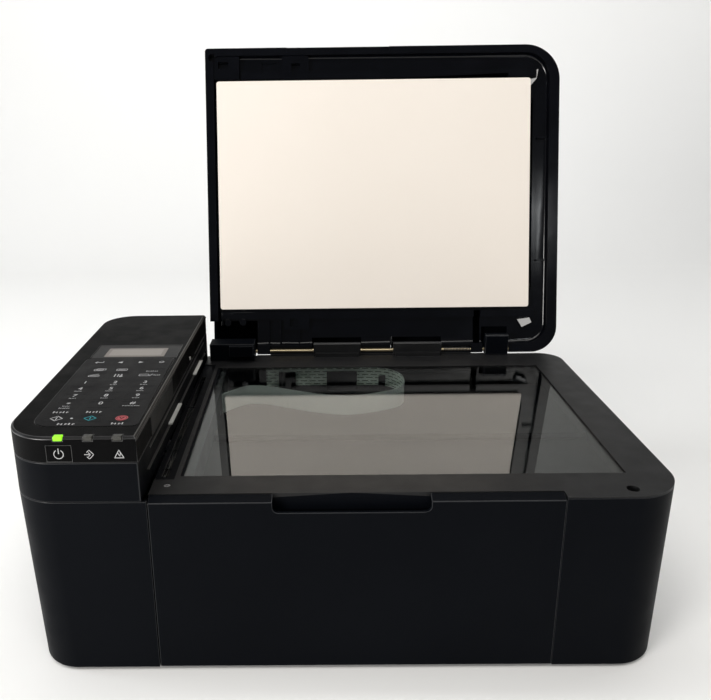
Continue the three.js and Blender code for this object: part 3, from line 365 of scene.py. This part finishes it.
# rounded to the full width, even where edges are close together
FULL_EDGES = {"panel_base", "panel_housing", "left_side_cover", "right_side_cover", "front_cover"}
SHARP = {"platen_glass", "adf_glass", "scan_belt", "main_board", "lcd_module"}
EDGE_WIDTH = 0.3
BEVELS = {"front_cover": 0.5, "platen_frame": 0.5, "panel_housing": 0.35, "lid_inner_frame": 0.6,
          "lid_outer_shell": 0.7, "adf_cover": 0.7, "adf_tray": 0.7, "hinge_post_left": 0.6,
          "hinge_post_right": 0.8, "power_button": 0.5, "keypad_overlay": 0.2,
          "left_side_cover": 0.5, "right_side_cover": 0.5, "panel_base": 0.6, "rear_cover": 0.5}


APRON_BACK, APRON_TOP = 10.4, 126.9    # the platen frame's front apron, below its rim
BOARD_BACK = 270                       # the main board's usb socket is behind here
CHANNEL_RIGHT, CHANNEL_TOP = -114, 129.6
SMOOTH_ANGLE = math.radians(32)        # edges sharper than this are rounded, the rest are shaded smooth


def dress_nodes():
    """Every CAD node gets its material and finely rounded edges, most with a painted highlight along them; a
    few faces are repainted, some with painted highlight and some with painted shade.
    """
    for look, names in NODE_LOOKS.items():
        for name in names:
            node = NODES[name]
            node.data.materials.clear()
            node.data.materials.append(M[look])
            # an edge look, most of them lighter than the faces, paints a highlight along the rounded edges
            shiny = look in EDGES and name not in PLAIN_EDGES
            if shiny:
                node.data.materials.append(M[EDGES[look]])
            if name not in SHARP:
                round_edges(node, BEVELS.get(name, EDGE_WIDTH), edge_slot=1 if shiny else -1,
                            clamp=name not in FULL_EDGES)
    # the frame's front apron, in the handle recess, takes the darker case look: painted shade
    repaint("platen_frame", "case", lambda at, facing: at.y < APRON_BACK and at.z < APRON_TOP)
    # the sunk strip's floor takes a darker look: painted shade
    repaint("platen_frame", "channel", lambda at, facing: in_channel(at) and facing.z > 0.9)
    # the panel's slanted chamfers take a lighter look: painted highlight
    repaint("panel_housing", "pod_slope_highlight", lambda at, facing: 0.4 < facing.z < 0.9)
    repaint("main_board", "steel", lambda at, facing: at.y > BOARD_BACK)
    lid_up = (LID.to_3x3() @ Vector((0, 0, 1))).normalized()
    repaint("lid_inner_frame", "gloss_wall", lambda at, facing: abs(facing.dot(lid_up)) < 0.6)


def in_channel(at):
    """Whether a point of the platen frame is on the floor of the sunk strip beside the panel."""
    return at.x < CHANNEL_RIGHT and at.z < CHANNEL_TOP


def repaint(name, look, chosen):
    """Gives the faces that pass the test another material; the test gets a face's centre and normal."""
    mesh = NODES[name].data
    mesh.materials.append(M[look])
    slot = len(mesh.materials) - 1
    back = BODY.inverted()
    for polygon in mesh.polygons:
        if chosen(back @ polygon.center, polygon.normal):
            polygon.material_index = slot


def round_edges(obj, width, segments=2, edge_slot=-1, clamp=True):
    """Rounds the sharp edges and shades the flat faces flat; edge_slot is the rounding's material."""
    weld = obj.modifiers.new("weld", "WELD")
    weld.merge_threshold = 0.00001
    bevel = obj.modifiers.new("bevel", "BEVEL")
    bevel.width = width * MM
    bevel.segments = segments
    bevel.limit_method = "ANGLE"
    bevel.angle_limit = SMOOTH_ANGLE
    bevel.use_clamp_overlap = clamp
    bevel.material = edge_slot
    bevel.harden_normals = False
    smooth = obj.modifiers.new("smooth", "EDGE_SPLIT")
    smooth.split_angle = SMOOTH_ANGLE
    flat = obj.modifiers.new("flat", "WEIGHTED_NORMAL")
    flat.mode = "FACE_AREA"
    flat.weight = 100
    for polygon in obj.data.polygons:
        polygon.use_smooth = True


# ------------------------------------------------------------------ mesh helpers
def finish(mesh_data, name, body, look, space=BODY, width=0.0, segments=2):
    """Turns a bmesh drawn in millimetres into a piece that rides on a body."""
    mesh = bpy.data.meshes.new(name)
    bmesh.ops.recalc_face_normals(mesh_data, faces=mesh_data.faces)
    mesh_data.to_mesh(mesh)
    mesh_data.free()
    mesh.transform(space)
    mesh.materials.append(M[look])
    obj = bpy.data.objects.new(name, mesh)
    bpy.context.scene.collection.objects.link(obj)
    if width:
        round_edges(obj, width, segments)
    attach(obj, body)
    return obj


def add_block(bm, x0, x1, y0, y1, z0, z1):
    """A plain block between two values on each axis."""
    made = bmesh.ops.create_cube(bm, size=1.0)
    scale = Matrix.Diagonal((x1 - x0, y1 - y0, z1 - z0, 1))
    centre = Matrix.Translation(((x0 + x1) / 2, (y0 + y1) / 2, (z0 + z1) / 2))
    bmesh.ops.transform(bm, matrix=centre @ scale, verts=made["verts"])


def add_prism(bm, points, low, high, axis="z"):
    """A closed outline in x and y drawn out along z, or in x and z drawn out along y."""
    def spot(a, b, c):
        return (a, c, b) if axis == "y" else (a, b, c)

    rings = [[bm.verts.new(spot(a, b, c)) for a, b in points] for c in (low, high)]
    bm.faces.new(rings[0][::-1])
    bm.faces.new(rings[1])
    count = len(points)
    for i in range(count):
        j = (i + 1) % count
        bm.faces.new((rings[0][i], rings[0][j], rings[1][j], rings[1][i]))


def arc(cx, cy, radius, start, end, steps=8):
    """Points on an arc, angles in degrees."""
    angles = [math.radians(start + (end - start) * i / steps) for i in range(steps + 1)]
    return [(cx + radius * math.cos(a), cy + radius * math.sin(a)) for a in angles]


def rounded_outline(x0, x1, y0, y1, radius, steps=6):
    """A rectangle with round corners."""
    return (arc(x1 - radius, y0 + radius, radius, -90, 0, steps)
            + arc(x1 - radius, y1 - radius, radius, 0, 90, steps)
            + arc(x0 + radius, y1 - radius, radius, 90, 180, steps)
            + arc(x0 + radius, y0 + radius, radius, 180, 270, steps))


def add_ring(bm, outer, inner, low, high):
    """A flat frame between two outlines with the same number of points."""
    loops = [[bm.verts.new((x, y, z)) for x, y in points]
             for points, z in ((outer, low), (outer, high), (inner, high), (inner, low))]
    count = len(outer)
    for k in range(4):
        first, second = loops[k], loops[(k + 1) % 4]
        for i in range(count):
            j = (i + 1) % count
            bm.faces.new((first[i], first[j], second[j], second[i]))


# ------------------------------------------------------------------ camera, lights, floor
def add_camera():
    """The photograph's view: standing in front, a little left of the middle, looking down."""
    pitch, yaw, roll = 0.310, 0.010, 0.013
    data = bpy.data.cameras.new("camera")
    data.sensor_width = 36
    data.lens = 39.07
    data.shift_x = 0.0663         # the photograph was cropped off centre
    data.shift_y = -0.0043
    camera = bpy.data.objects.new("camera", data)
    bpy.context.scene.collection.objects.link(camera)
    aim = Matrix.Rotation(yaw, 4, "Z") @ Matrix.Rotation(-pitch, 4, "X") @ Matrix.Rotation(roll, 4, "Y")
    upright = Matrix.Rotation(math.pi / 2, 4, "X")        # a camera looks along its own -Z
    camera.matrix_world = Matrix.Translation(place(-18.9, -434.6, 370.2)) @ aim @ upright
    data.clip_start = 0.01
    bpy.context.scene.camera = camera


def add_light(name, position, target, size, power, color):
    """A rectangular soft light; places and sizes in metres, power in watts."""
    data = bpy.data.lights.new(name, "AREA")
    data.shape = "RECTANGLE"
    data.size, data.size_y = size
    data.energy = power
    data.color = color
    light = bpy.data.objects.new(name, data)
    bpy.context.scene.collection.objects.link(light)
    light.location = position
    light.rotation_euler = (Vector(target) - Vector(position)).to_track_quat("-Z", "Y").to_euler()


def add_surroundings():
    """A pale floor and backdrop, a dim room, and soft light from above, in front and the left."""
    world = bpy.data.worlds.new("room")
    bpy.context.scene.world = world
    world.use_nodes = True
    tree = world.node_tree
    background = tree.nodes["Background"]
    background.inputs["Color"].default_value = (0.95, 0.97, 1.0, 1)
    background.inputs["Strength"].default_value = 0.11

    profile = [(-3.0, 0.0), (1.1, 0.0)] + arc(1.1, 0.9, 0.9, -90, 0, 12) + [(2.0, 3.2)]
    grey_from = len(profile) - 3      # the top of the sweep is grey, so the machine mirrors it less brightly
    bm = bmesh.new()
    edges = [[bm.verts.new((x, y, z)) for y, z in profile] for x in (-4.0, 4.0)]
    for i in range(len(profile) - 1):
        face = bm.faces.new((edges[0][i], edges[1][i], edges[1][i + 1], edges[0][i + 1]))
        face.smooth = True
        face.material_index = int(i >= grey_from)
    mesh = bpy.data.meshes.new("floor")
    bm.to_mesh(mesh)
    bm.free()
    floor = bpy.data.objects.new("floor", mesh)
    bpy.context.scene.collection.objects.link(floor)
    g = Graph("floor_pale")
    g.shader.inputs["Base Color"].default_value = (0.93, 0.93, 0.92, 1)
    g.set(roughness=0.75)
    mesh.materials.append(g.material)
    upper = Graph("wall_grey")
    upper.shader.inputs["Base Color"].default_value = (0.34, 0.34, 0.33, 1)
    upper.set(roughness=0.9)
    mesh.materials.append(upper.material)

    add_light("ceiling", (0.0, 0.0, 2.4), (0, 0.1, 0.0), (2.2, 1.6), 15, (1.0, 0.985, 0.96))
    add_light("wall_wash", (0.0, 0.3, 2.3), (0, 2.0, 0.7), (3.2, 0.5), 22, (0.98, 0.99, 1.0))
    add_light("front_high", (-0.2, -1.55, 2.6), (0, 0.15, 0.22), (3.2, 0.8), 39, (1.0, 0.975, 0.94))
    add_light("front_low", (-1.3, -1.5, 0.5), (0, 0.15, 0.15), (0.7, 0.5), 27, (1.0, 0.98, 0.95))
    add_light("left_window", (-1.7, 0.0, 0.75), (0.1, 0.0, 0.25), (0.5, 0.9), 9, (0.94, 0.97, 1.0))
    add_light("right_lamp", (0.765, -2.05, 0.965), (0.2, 0.14, 0.28), (0.08, 0.20), 0.8, (0.95, 0.98, 1.0))


# ------------------------------------------------------------------ strokes and lettering
MARK_SUNK, MARK_PROUD = 0.02, 0.1


class Sketch:
    """Printed marks on one face of the control panel, standing a hair proud of it."""

    def __init__(self, axis, face, outward):
        self.axis = axis
        self.low, self.high = sorted((face - MARK_SUNK * outward, face + MARK_PROUD * outward))
        self.mesh = bmesh.new()

    def fill(self, points):
        add_prism(self.mesh, points, self.low, self.high, self.axis)

    def bar(self, x0, x1, y0, y1):
        self.fill([(x0, y0), (x1, y0), (x1, y1), (x0, y1)])

    def line(self, points, width, closed=False):
        ends = list(points) + ([points[0]] if closed else [])
        for (x0, y0), (x1, y1) in zip(ends, ends[1:]):
            length = math.hypot(x1 - x0, y1 - y0)
            dx, dy = (x1 - x0) / length * width / 2, (y1 - y0) / length * width / 2
            self.fill([(x0 - dx - dy, y0 - dy + dx), (x0 - dx + dy, y0 - dy - dx),
                       (x1 + dx + dy, y1 + dy - dx), (x1 + dx - dy, y1 + dy + dx)])

    def ring(self, x, y, radius, width, start=0, end=360):
        steps = max(8, int((end - start) / 15))
        outer = arc(x, y, radius, start, end, steps)
        inner = arc(x, y, radius - width, start, end, steps)
        for k in range(steps):
            self.fill([outer[k], outer[k + 1], inner[k + 1], inner[k]])

    def word(self, x, y, length, height):
        """A row of plain ticks stands for each word: the wording on the real panel is left out."""
        count = max(3, round(length / (0.78 * height)))
        pitch = length / count
        for k in range(count):
            left = x - length / 2 + k * pitch
            top = height / 2 if k % 3 == 0 else height * 0.28
            middle = y - height * 0.08
            self.bar(left, left + 0.34 * pitch, y - height / 2, y + top)
            if k % 2 == 0:
                self.bar(left, left + 0.7 * pitch, middle, middle + 0.2 * height)

    def text(self, words, x, y, size):
        data = bpy.data.curves.new("glyph", "FONT")
        data.body = words
        data.size = size
        data.align_x = "CENTER"
        data.align_y = "CENTER"
        data.extrude = (self.high - self.low) / 2
        holder = bpy.data.objects.new("glyph", data)
        bpy.context.scene.collection.objects.link(holder)
        graph = bpy.context.evaluated_depsgraph_get()
        mesh = bpy.data.meshes.new_from_object(holder.evaluated_get(graph))
        mesh.transform(Matrix.Translation((x, y, (self.low + self.high) / 2)))
        self.mesh.from_mesh(mesh)
        bpy.data.objects.remove(holder)
        bpy.data.meshes.remove(mesh)

    def done(self, name, look, body="printer_body"):
        finish(self.mesh, name, body, look)


# ------------------------------------------------------------------ control panel
# centres of the keys under the film
KEY_COLUMNS = (-188.6, -166.5, -144.4)
NUMBER_ROWS = (97.0, 84.3, 70.6, 56.0)
NAV_ROW = 142.4
NAV_KEYS = (-189.7, -173.4, -157.2, -140.8)
MODE_ROWS = (124.6, 111.6)
START_ROW = 29.7
STOP_X = -145.8


def page_icon(sketch, x, y, w=3.4, h=3.2):
    """An outline of a sheet, w to each side of its middle and h high."""
    sketch.line(rounded_outline(x - w, x + w, y - h / 2, y + h / 2, 0.5, 1), 0.45, closed=True)


def keypad_marks():
    """Digits, key symbols and plain ticks where the real panel has words."""
    ink = Sketch("z", POD_TOP, 1)
    for row, keys in zip(NUMBER_ROWS, ("123", "456", "789", "*0#")):
        for column, key in zip(KEY_COLUMNS, keys):
            ink.text(key, column, row - (1.2 if key == "*" else 0), 6.6)
            if key not in "10":
                ink.word(column, row - 5.0, 5.2 if key != "#" else 12, 1.3)
    left, back, on, ok = NAV_KEYS
    ink.line([(left - 2.2, NAV_ROW + 1.6), (left - 3.4, NAV_ROW), (left - 2.2, NAV_ROW - 1.6)], 0.6)
    ink.line([(left - 3.2, NAV_ROW), (left + 2.6, NAV_ROW), (left + 2.6, NAV_ROW + 2)], 0.6)
    ink.fill([(back - 2, NAV_ROW), (back + 1.6, NAV_ROW - 1.9), (back + 1.6, NAV_ROW + 1.9)])
    ink.fill([(on + 2, NAV_ROW), (on - 1.6, NAV_ROW + 1.9), (on - 1.6, NAV_ROW - 1.9)])
    ink.ring(ok, NAV_ROW, 2.0, 0.55)
    top, bottom = MODE_ROWS
    page_icon(ink, -186.0, top)
    page_icon(ink, -184.2, top + 1.2)
    page_icon(ink, -168.0, top, 4.0, 3.6)
    ink.line([(-170.4, top), (-165.6, top)], 0.45)
    page_icon(ink, -186.2, bottom - 0.6, 4.0, 2.4)
    ink.line([(-189, bottom + 1.2), (-183.4, bottom + 3.4)], 0.5)
    for x in (-170.4, -168, -165.6):
        ink.line([(x, bottom - 2.4), (x, bottom + 2.6)], 0.7)
    ink.ring(-165.6, bottom - 1.6, 1.4, 0.7)
    page_icon(ink, -148.6, bottom + 0.6, 3.6, 3.6)
    ink.line([(-144.2, bottom - 1.6), (-142.4, bottom + 2.6)], 0.5)
    ink.word(-138.4, bottom + 0.4, 5.6, 2.0)
    ink.word(-143.6, 120.8, 9.6, 2.0)
    ink.word(KEY_COLUMNS[0], 47.4, 8, 1.7)
    ink.word(KEY_COLUMNS[0], 40.4, 11, 2.8)
    ink.word(KEY_COLUMNS[1], 40.4, 11, 2.8)
    ink.word(-179.2, 20.6, 12, 2.8)
    ink.word(-146.0, 20.8, 9, 2.8)
    ink.ring(-178.6, START_ROW, 0.9, 0.9)
    start_symbol(ink, KEY_COLUMNS[0])
    ink.done("keypad_marks", "white")

    teal = Sketch("z", POD_TOP, 1)
    start_symbol(teal, KEY_COLUMNS[1])
    teal.done("start_key_mark", "teal")

    red = Sketch("z", POD_TOP, 1)
    red.ring(STOP_X, START_ROW, 4.1, 0.7)
    red.ring(STOP_X, START_ROW, 3.0, 3.0)
    red.done("stop_key_mark", "red")
    sign = Sketch("z", POD_TOP + 0.05, 1)
    sign.line([(STOP_X - 1.6, START_ROW + 1.3), (STOP_X + 1.6, START_ROW + 1.3), (STOP_X, START_ROW - 1.6)],
              0.5, closed=True)
    sign.done("stop_key_sign", "overlay")


def start_symbol(sketch, x):
    """A diamond with a short bar in it."""
    sketch.line([(x - 4, START_ROW), (x, START_ROW + 3.8), (x + 4, START_ROW), (x, START_ROW - 3.8)], 0.5,
                closed=True)
    sketch.line([(x, START_ROW - 1.8), (x, START_ROW + 1.8)], 0.6)


def keypad_ridges():
    """Fine raised outlines that mark the keys under the film."""
    bm = bmesh.new()

    def frame_round(x, y, half_x, half_y):
        outer = rounded_outline(x - half_x, x + half_x, y - half_y, y + half_y, 2.0, 3)
        inner_x, inner_y = half_x - 0.5, half_y - 0.5
        inner = rounded_outline(x - inner_x, x + inner_x, y - inner_y, y + inner_y, 1.5, 3)
        add_ring(bm, outer, inner, POD_TOP - 0.02, POD_TOP + 0.05)

    for row in NUMBER_ROWS:
        for column in KEY_COLUMNS:
            frame_round(column, row - 2.4, 8.6, 5.6)
    for x in NAV_KEYS:
        frame_round(x, NAV_ROW, 6.4, 4.2)
    for y in MODE_ROWS:
        frame_round(-186.0, y, 8.0, 5.6)
        frame_round(-168.0, y, 8.0, 5.6)
    frame_round(-143.6, sum(MODE_ROWS) / 2, 10.6, 9.0)
    for x in (KEY_COLUMNS[0], KEY_COLUMNS[1], STOP_X):
        frame_round(x, START_ROW, 7.8, 5.4)
    finish(bm, "keypad_ridges", "printer_body", "overlay")


def panel_front_marks():
    """Symbols on the front of the control panel: power, data and alarm."""
    button_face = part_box("power_button")[0].y / MM - FRONT / MM
    power = Sketch("y", button_face, -1)
    power.ring(-179.0, 162.7, 3.2, 0.5, 120, 420)
    power.line([(-179.0, 163.2), (-179.0, 166.4)], 0.5)
    power.done("power_mark", "white", body="power_button")
    signs = Sketch("y", 0.0, -1)
    signs.line([(-162.9, 162.3), (-159.2, 162.3)], 0.45)
    signs.line([(-160.5, 163.5), (-159.2, 162.3), (-160.5, 161.1)], 0.45)
    signs.line([(-161.4, 164.0), (-160.0, 165.3), (-157.2, 162.3), (-160.0, 159.3), (-161.4, 160.6)], 0.45)
    signs.line([(-144.4, 159.9), (-141.4, 165.2), (-138.6, 159.9)], 0.45, closed=True)
    signs.line([(-142.2, 163.0), (-141.0, 161.0), (-140.6, 163.0)], 0.4)
    signs.done("status_marks", "white")


def lcd_screen():
    """The pale display behind its window, with a lighter field for the characters."""
    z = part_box("lcd_module")[1].z / MM
    face = bmesh.new()
    add_prism(face, rounded_outline(-190.8, -142.0, 157.5, 179.5, 0.8, 2), z - 0.02, z + 0.1)
    finish(face, "lcd_screen", "printer_body", "screen")
    field = bmesh.new()
    add_prism(field, rounded_outline(-187.8, -145.2, 161.0, 176.4, 0.4, 2), z + 0.05, z + 0.13)
    finish(field, "lcd_field", "printer_body", "field")


# ------------------------------------------------------------------ scanner ribbon
# the ribbon's route, from its clamp along the rear wall, round its loop and back to the scan head
RIBBON = [(-86, 271), (-40, 271.5), (14, 271), (36, 270.4), (50, 266.6), (60, 254), (62.6, 236), (57, 217),
          (40, 206), (12, 197), (-14, 201), (-41, 212.5), (-62, 222), (-80, 224), (-94, 213), (-102.4, 203)]
RIBBON_Z = (102.6, 120.6)
RIBBON_LOOP = 6                   # the point of RIBBON furthest to the right
RIBBON_THICK = 0.3


def smooth_path(points, steps=8):
    """A curve through the points, evenly stepped between each pair."""
    path = []
    count = len(points)
    for i in range(count - 1):
        p0 = Vector(points[max(i - 1, 0)])
        p1, p2 = Vector(points[i]), Vector(points[i + 1])
        p3 = Vector(points[min(i + 2, count - 1)])
        for k in range(steps):
            t = k / steps
            path.append(0.5 * (2 * p1 + (p2 - p0) * t + (2 * p0 - 5 * p1 + 4 * p2 - p3) * t * t
                               + (3 * p1 - p0 - 3 * p2 + p3) * t ** 3))
    path.append(Vector(points[-1]))
    return path


def ribbon_piece(name, path, start_length):
    """A thin upright strip along the path; dashes are printed on the inner side of its loop."""
    bm = bmesh.new()
    uv = bm.loops.layers.uv.new("strip")
    half = RIBBON_THICK / 2
    low, high = RIBBON_Z
    rows, lengths, travelled = [], [], start_length
    for i, point in enumerate(path):
        along = (path[min(i + 1, len(path) - 1)] - path[max(i - 1, 0)]).normalized()
        inward = Vector((along.y, -along.x)) * half
        if i:
            travelled += (point - path[i - 1]).length
        lengths.append(travelled)
        near, far = point + inward, point - inward
        rows.append([bm.verts.new((*near, low)), bm.verts.new((*near, high)), bm.verts.new((*far, high)),
                     bm.verts.new((*far, low))])
    for i in range(len(rows) - 1):
        for k in range(4):
            j = (k + 1) % 4
            face = bm.faces.new((rows[i][k], rows[i + 1][k], rows[i + 1][j], rows[i][j]))
            face.smooth = True
            face.material_index = 0 if k == 0 else 1
            spots = ((lengths[i], k), (lengths[i + 1], k), (lengths[i + 1], j), (lengths[i], j))
            for loop, (u, corner) in zip(face.loops, spots):
                loop[uv].uv = (u * MM, (0 if corner in (0, 3) else high - low) * MM)
    bm.faces.new(rows[0][::-1])
    bm.faces.new(rows[-1])
    mesh = bpy.data.meshes.new(name)
    bm.to_mesh(mesh)
    bm.free()
    mesh.transform(BODY)
    mesh.materials.append(M["film"])
    mesh.materials.append(M["film_back"])
    obj = bpy.data.objects.new(name, mesh)
    bpy.context.scene.collection.objects.link(obj)
    obj.modifiers.new("edges", "EDGE_SPLIT").split_angle = math.radians(40)
    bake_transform(obj)
    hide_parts("scan_cable")
    return travelled


def scan_ribbon():
    """Three runs of one ribbon; on the real machine its loop follows the carriage at about half its speed.
    """
    steps = 8
    path = smooth_path(RIBBON, steps)
    loop = RIBBON_LOOP * steps
    bend = next(i for i in range(loop, len(path)) if path[i].x < -54)
    length = ribbon_piece("ribbon_rear_run", path[:loop + 1], 0)
    length = ribbon_piece("ribbon_front_run", path[loop:bend + 1], length)
    ribbon_piece("ribbon_end_run", path[bend:], length)
    clamp = bmesh.new()
    add_block(clamp, -89, -67, 269.6, 270.3, 100.5, 122.6)
    finish(clamp, "ribbon_clamp", "printer_body", "inner", width=0.2)


# ------------------------------------------------------------------ fittings beside the panel
def wall_x(y):
    """The control panel's right wall, which leans in a little towards the back."""
    return -130.3 + 5.3 * y / 283


def add_wall_strip(bm, y0, y1, z0, z1, thick):
    """A flat strip lying on the panel's right wall."""
    points = [(wall_x(y0) - 0.1, y0), (wall_x(y0) + thick, y0), (wall_x(y1) + thick, y1),
              (wall_x(y1) - 0.1, y1)]
    add_prism(bm, points, z0, z1)


def panel_wall():
    """A cover plate and pale strips on the panel's right wall, and ribs along the sunk strip below it."""
    plate = bmesh.new()
    add_wall_strip(plate, 38, 112, 157.0, 170.8, 0.9)
    finish(plate, "panel_side_plate", "printer_body", "side_plate", width=0.2)
    lips = bmesh.new()
    add_wall_strip(lips, 212, 264, 156.8, 158.0, 0.6)
    add_wall_strip(lips, 30, 262, 152.0, 153.2, 0.8)
    add_wall_strip(lips, 20, 262, 141.2, 142.0, 1.6)
    # the lips take the panel's edge look: a painted highlight along each lip
    finish(lips, "panel_side_lips", "printer_body", "pod_edge_highlight", width=0.2)
    pale = bmesh.new()
    add_wall_strip(pale, 200, 237, 142.0, 143.2, 2.8)
    add_wall_strip(pale, 92, 132, 142.0, 143.2, 2.8)
    add_wall_strip(pale, 188.6, 191.4, 159.6, 162.2, 0.8)
    finish(pale, "panel_side_strips", "printer_body", "strip", width=0.15)
    ribs = bmesh.new()
    for y in (44, 73, 156, 214):
        add_block(ribs, -125.4, -118.6, y, y + 0.7, 129.3, 129.8)
    # the ribs share the sunk strip's painted shade
    finish(ribs, "sunk_strip_ribs", "printer_body", "channel", width=0.15)
    mask = bmesh.new()
    add_block(mask, -110.9, -108.9, 32.7, 252.4, 129.1, 129.2)
    finish(mask, "glass_border", "printer_body", "case")


def screw(name, x, y, z, radius):
    """A cross-head screw in the body, its head facing up."""
    head = bmesh.new()
    add_prism(head, arc(x, y, radius, 0, 345, 23), z - 0.8, z)
    finish(head, name, "printer_body", "steel", width=0.2)
    cross = bmesh.new()
    add_block(cross, x - radius * 0.6, x + radius * 0.6, y - 0.2, y + 0.2, z, z + 0.03)
    add_block(cross, x - 0.2, x + 0.2, y - radius * 0.6, y + radius * 0.6, z, z + 0.05)
    finish(cross, name + "_slot", "printer_body", "inner")


# ------------------------------------------------------------------ lid
PAD = {"x0": -112.0, "x1": 189.9, "y0": 31.0, "y1": 250.4}
WEB_LOWEST = 132.2                # the webs' faces stay above the shut lid's underside
WEB_FOOT = 138.3                  # and reach just into the floor of the lid's channel, at 138


def document_pad():
    """The pad that presses paper on the glass: foam with a smooth sheet on it, rounded at its corners."""
    x0, x1, y0, y1 = PAD.values()
    foam = bmesh.new()
    add_prism(foam, rounded_outline(x0 + 1.2, x1 - 1.2, y0 + 1.2, y1 - 1.2, 2.0), 131.7, 134.5)
    foam = finish(foam, "pad_foam", "lid", "foam", LID, width=0.4)
    sheet = bmesh.new()
    add_prism(sheet, rounded_outline(x0, x1, y0, y1, 2.4), 130.8, 131.72)
    sheet = finish(sheet, "pad_sheet", "lid", "pad", LID, width=0.35, segments=3)
    for piece in (foam, sheet):
        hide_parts("platen_pad")


def add_facet(bm, points, middle, slope_x, slope_y):
    """A low wedge on the lid's sunk floor; its face leans by two slopes about its middle height."""
    centre_x = sum(x for x, y in points) / len(points)
    centre_y = sum(y for x, y in points) / len(points)
    face = []
    foot = []
    for x, y in points:
        height = middle + slope_x * (x - centre_x) + slope_y * (y - centre_y)
        face.append(bm.verts.new((x, y, min(max(height, WEB_LOWEST), WEB_FOOT - 0.05))))
        foot.append(bm.verts.new((x, y, WEB_FOOT)))
    bm.faces.new(face)
    bm.faces.new(foot[::-1])
    count = len(points)
    for i in range(count):
        j = (i + 1) % count
        bm.faces.new((face[j], face[i], foot[i], foot[j]))


def corner_webs():
    """Small slanting webs in the lid's two rounded corners, which catch the light."""
    bm = bmesh.new()
    add_facet(bm, [(180, 262), (190, 255), (193.5, 266), (184, 270.5)], 135.2, -0.233, -0.42)
    add_facet(bm, [(190.5, 38), (191.5, 23), (198.5, 22), (196.5, 31)], 135.6, -0.232, -0.221)
    finish(bm, "lid_corner_webs", "lid", "web", LID)


def lid_details():
    """Bosses and bars in the lid's notch by the left hinge post, and the end of a cable cover's slot."""
    bm = bmesh.new()
    for x, y in ((-105.4, 263.7), (-90.5, 263.3)):
        add_prism(bm, arc(x, y, 3.4, 0, 340, 17), 133.0, 139.5)
    add_block(bm, -101, -80, 253.4, 255.0, 133.2, 139.5)
    add_block(bm, -111.5, -109.8, 254, 266, 133.4, 139.5)
    finish(bm, "lid_bosses", "lid", "gloss", LID, width=0.3)
    web = bmesh.new()
    add_block(web, 55.4, 56.7, 279.6, 286, 133, 150)
    finish(web, "cable_cover_slot_end", "lid", "inner", LID, width=0.2)


# ------------------------------------------------------------------ hinge
def hinge_spring():
    """A close-wound counterbalance spring on the hinge rod."""
    low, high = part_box("hinge_rod")
    centre_y, centre_z = (low.y + high.y) / 2, (low.z + high.z) / 2
    turns, around, section = 18, 14, 6
    x0, x1, radius, wire = 0.1075, 0.1335, 0.00235, 0.00042
    bm = bmesh.new()
    rings = []
    for i in range(turns * around + 1):
        angle = 2 * math.pi * i / around
        x = x0 + (x1 - x0) * i / (turns * around)
        ring = []
        for k in range(section):
            turn = 2 * math.pi * k / section
            reach = radius + wire * math.cos(turn)
            ring.append(bm.verts.new((x + wire * math.sin(turn), centre_y + reach * math.cos(angle),
                                      centre_z + reach * math.sin(angle))))
        rings.append(ring)
    for first, second in zip(rings, rings[1:]):
        for k in range(section):
            j = (k + 1) % section
            bm.faces.new((first[k], first[j], second[j], second[k])).smooth = True
    bm.faces.new(rings[0])
    bm.faces.new(rings[-1][::-1])
    finish(bm, "hinge_spring", "lid", "dark_steel", Matrix.Identity(4))


def hinge_sill():
    """A low lip behind the cable covers, closing the slit below the rod."""
    bm = bmesh.new()
    add_block(bm, -63.5, 133.5, 287.25, 288.2, 130.0, 131.45)
    add_block(bm, -76.5, -63.5, 287.25, 288.2, 130.0, 130.85)
    add_block(bm, 133.5, 146.5, 287.25, 288.2, 130.0, 130.85)
    finish(bm, "hinge_sill", "printer_body", "frame", width=0.1)


# ------------------------------------------------------------------ run
bpy.context.scene.view_settings.view_transform = "Standard"
add_camera()
add_surroundings()
dress_nodes()
keypad_marks()
keypad_ridges()
panel_front_marks()
lcd_screen()
panel_wall()
screw("frame_screw", -117.5, 20, 129.9, 2.1)
document_pad()
lid_details()
corner_webs()
hinge_spring()
hinge_sill()
scan_ribbon()
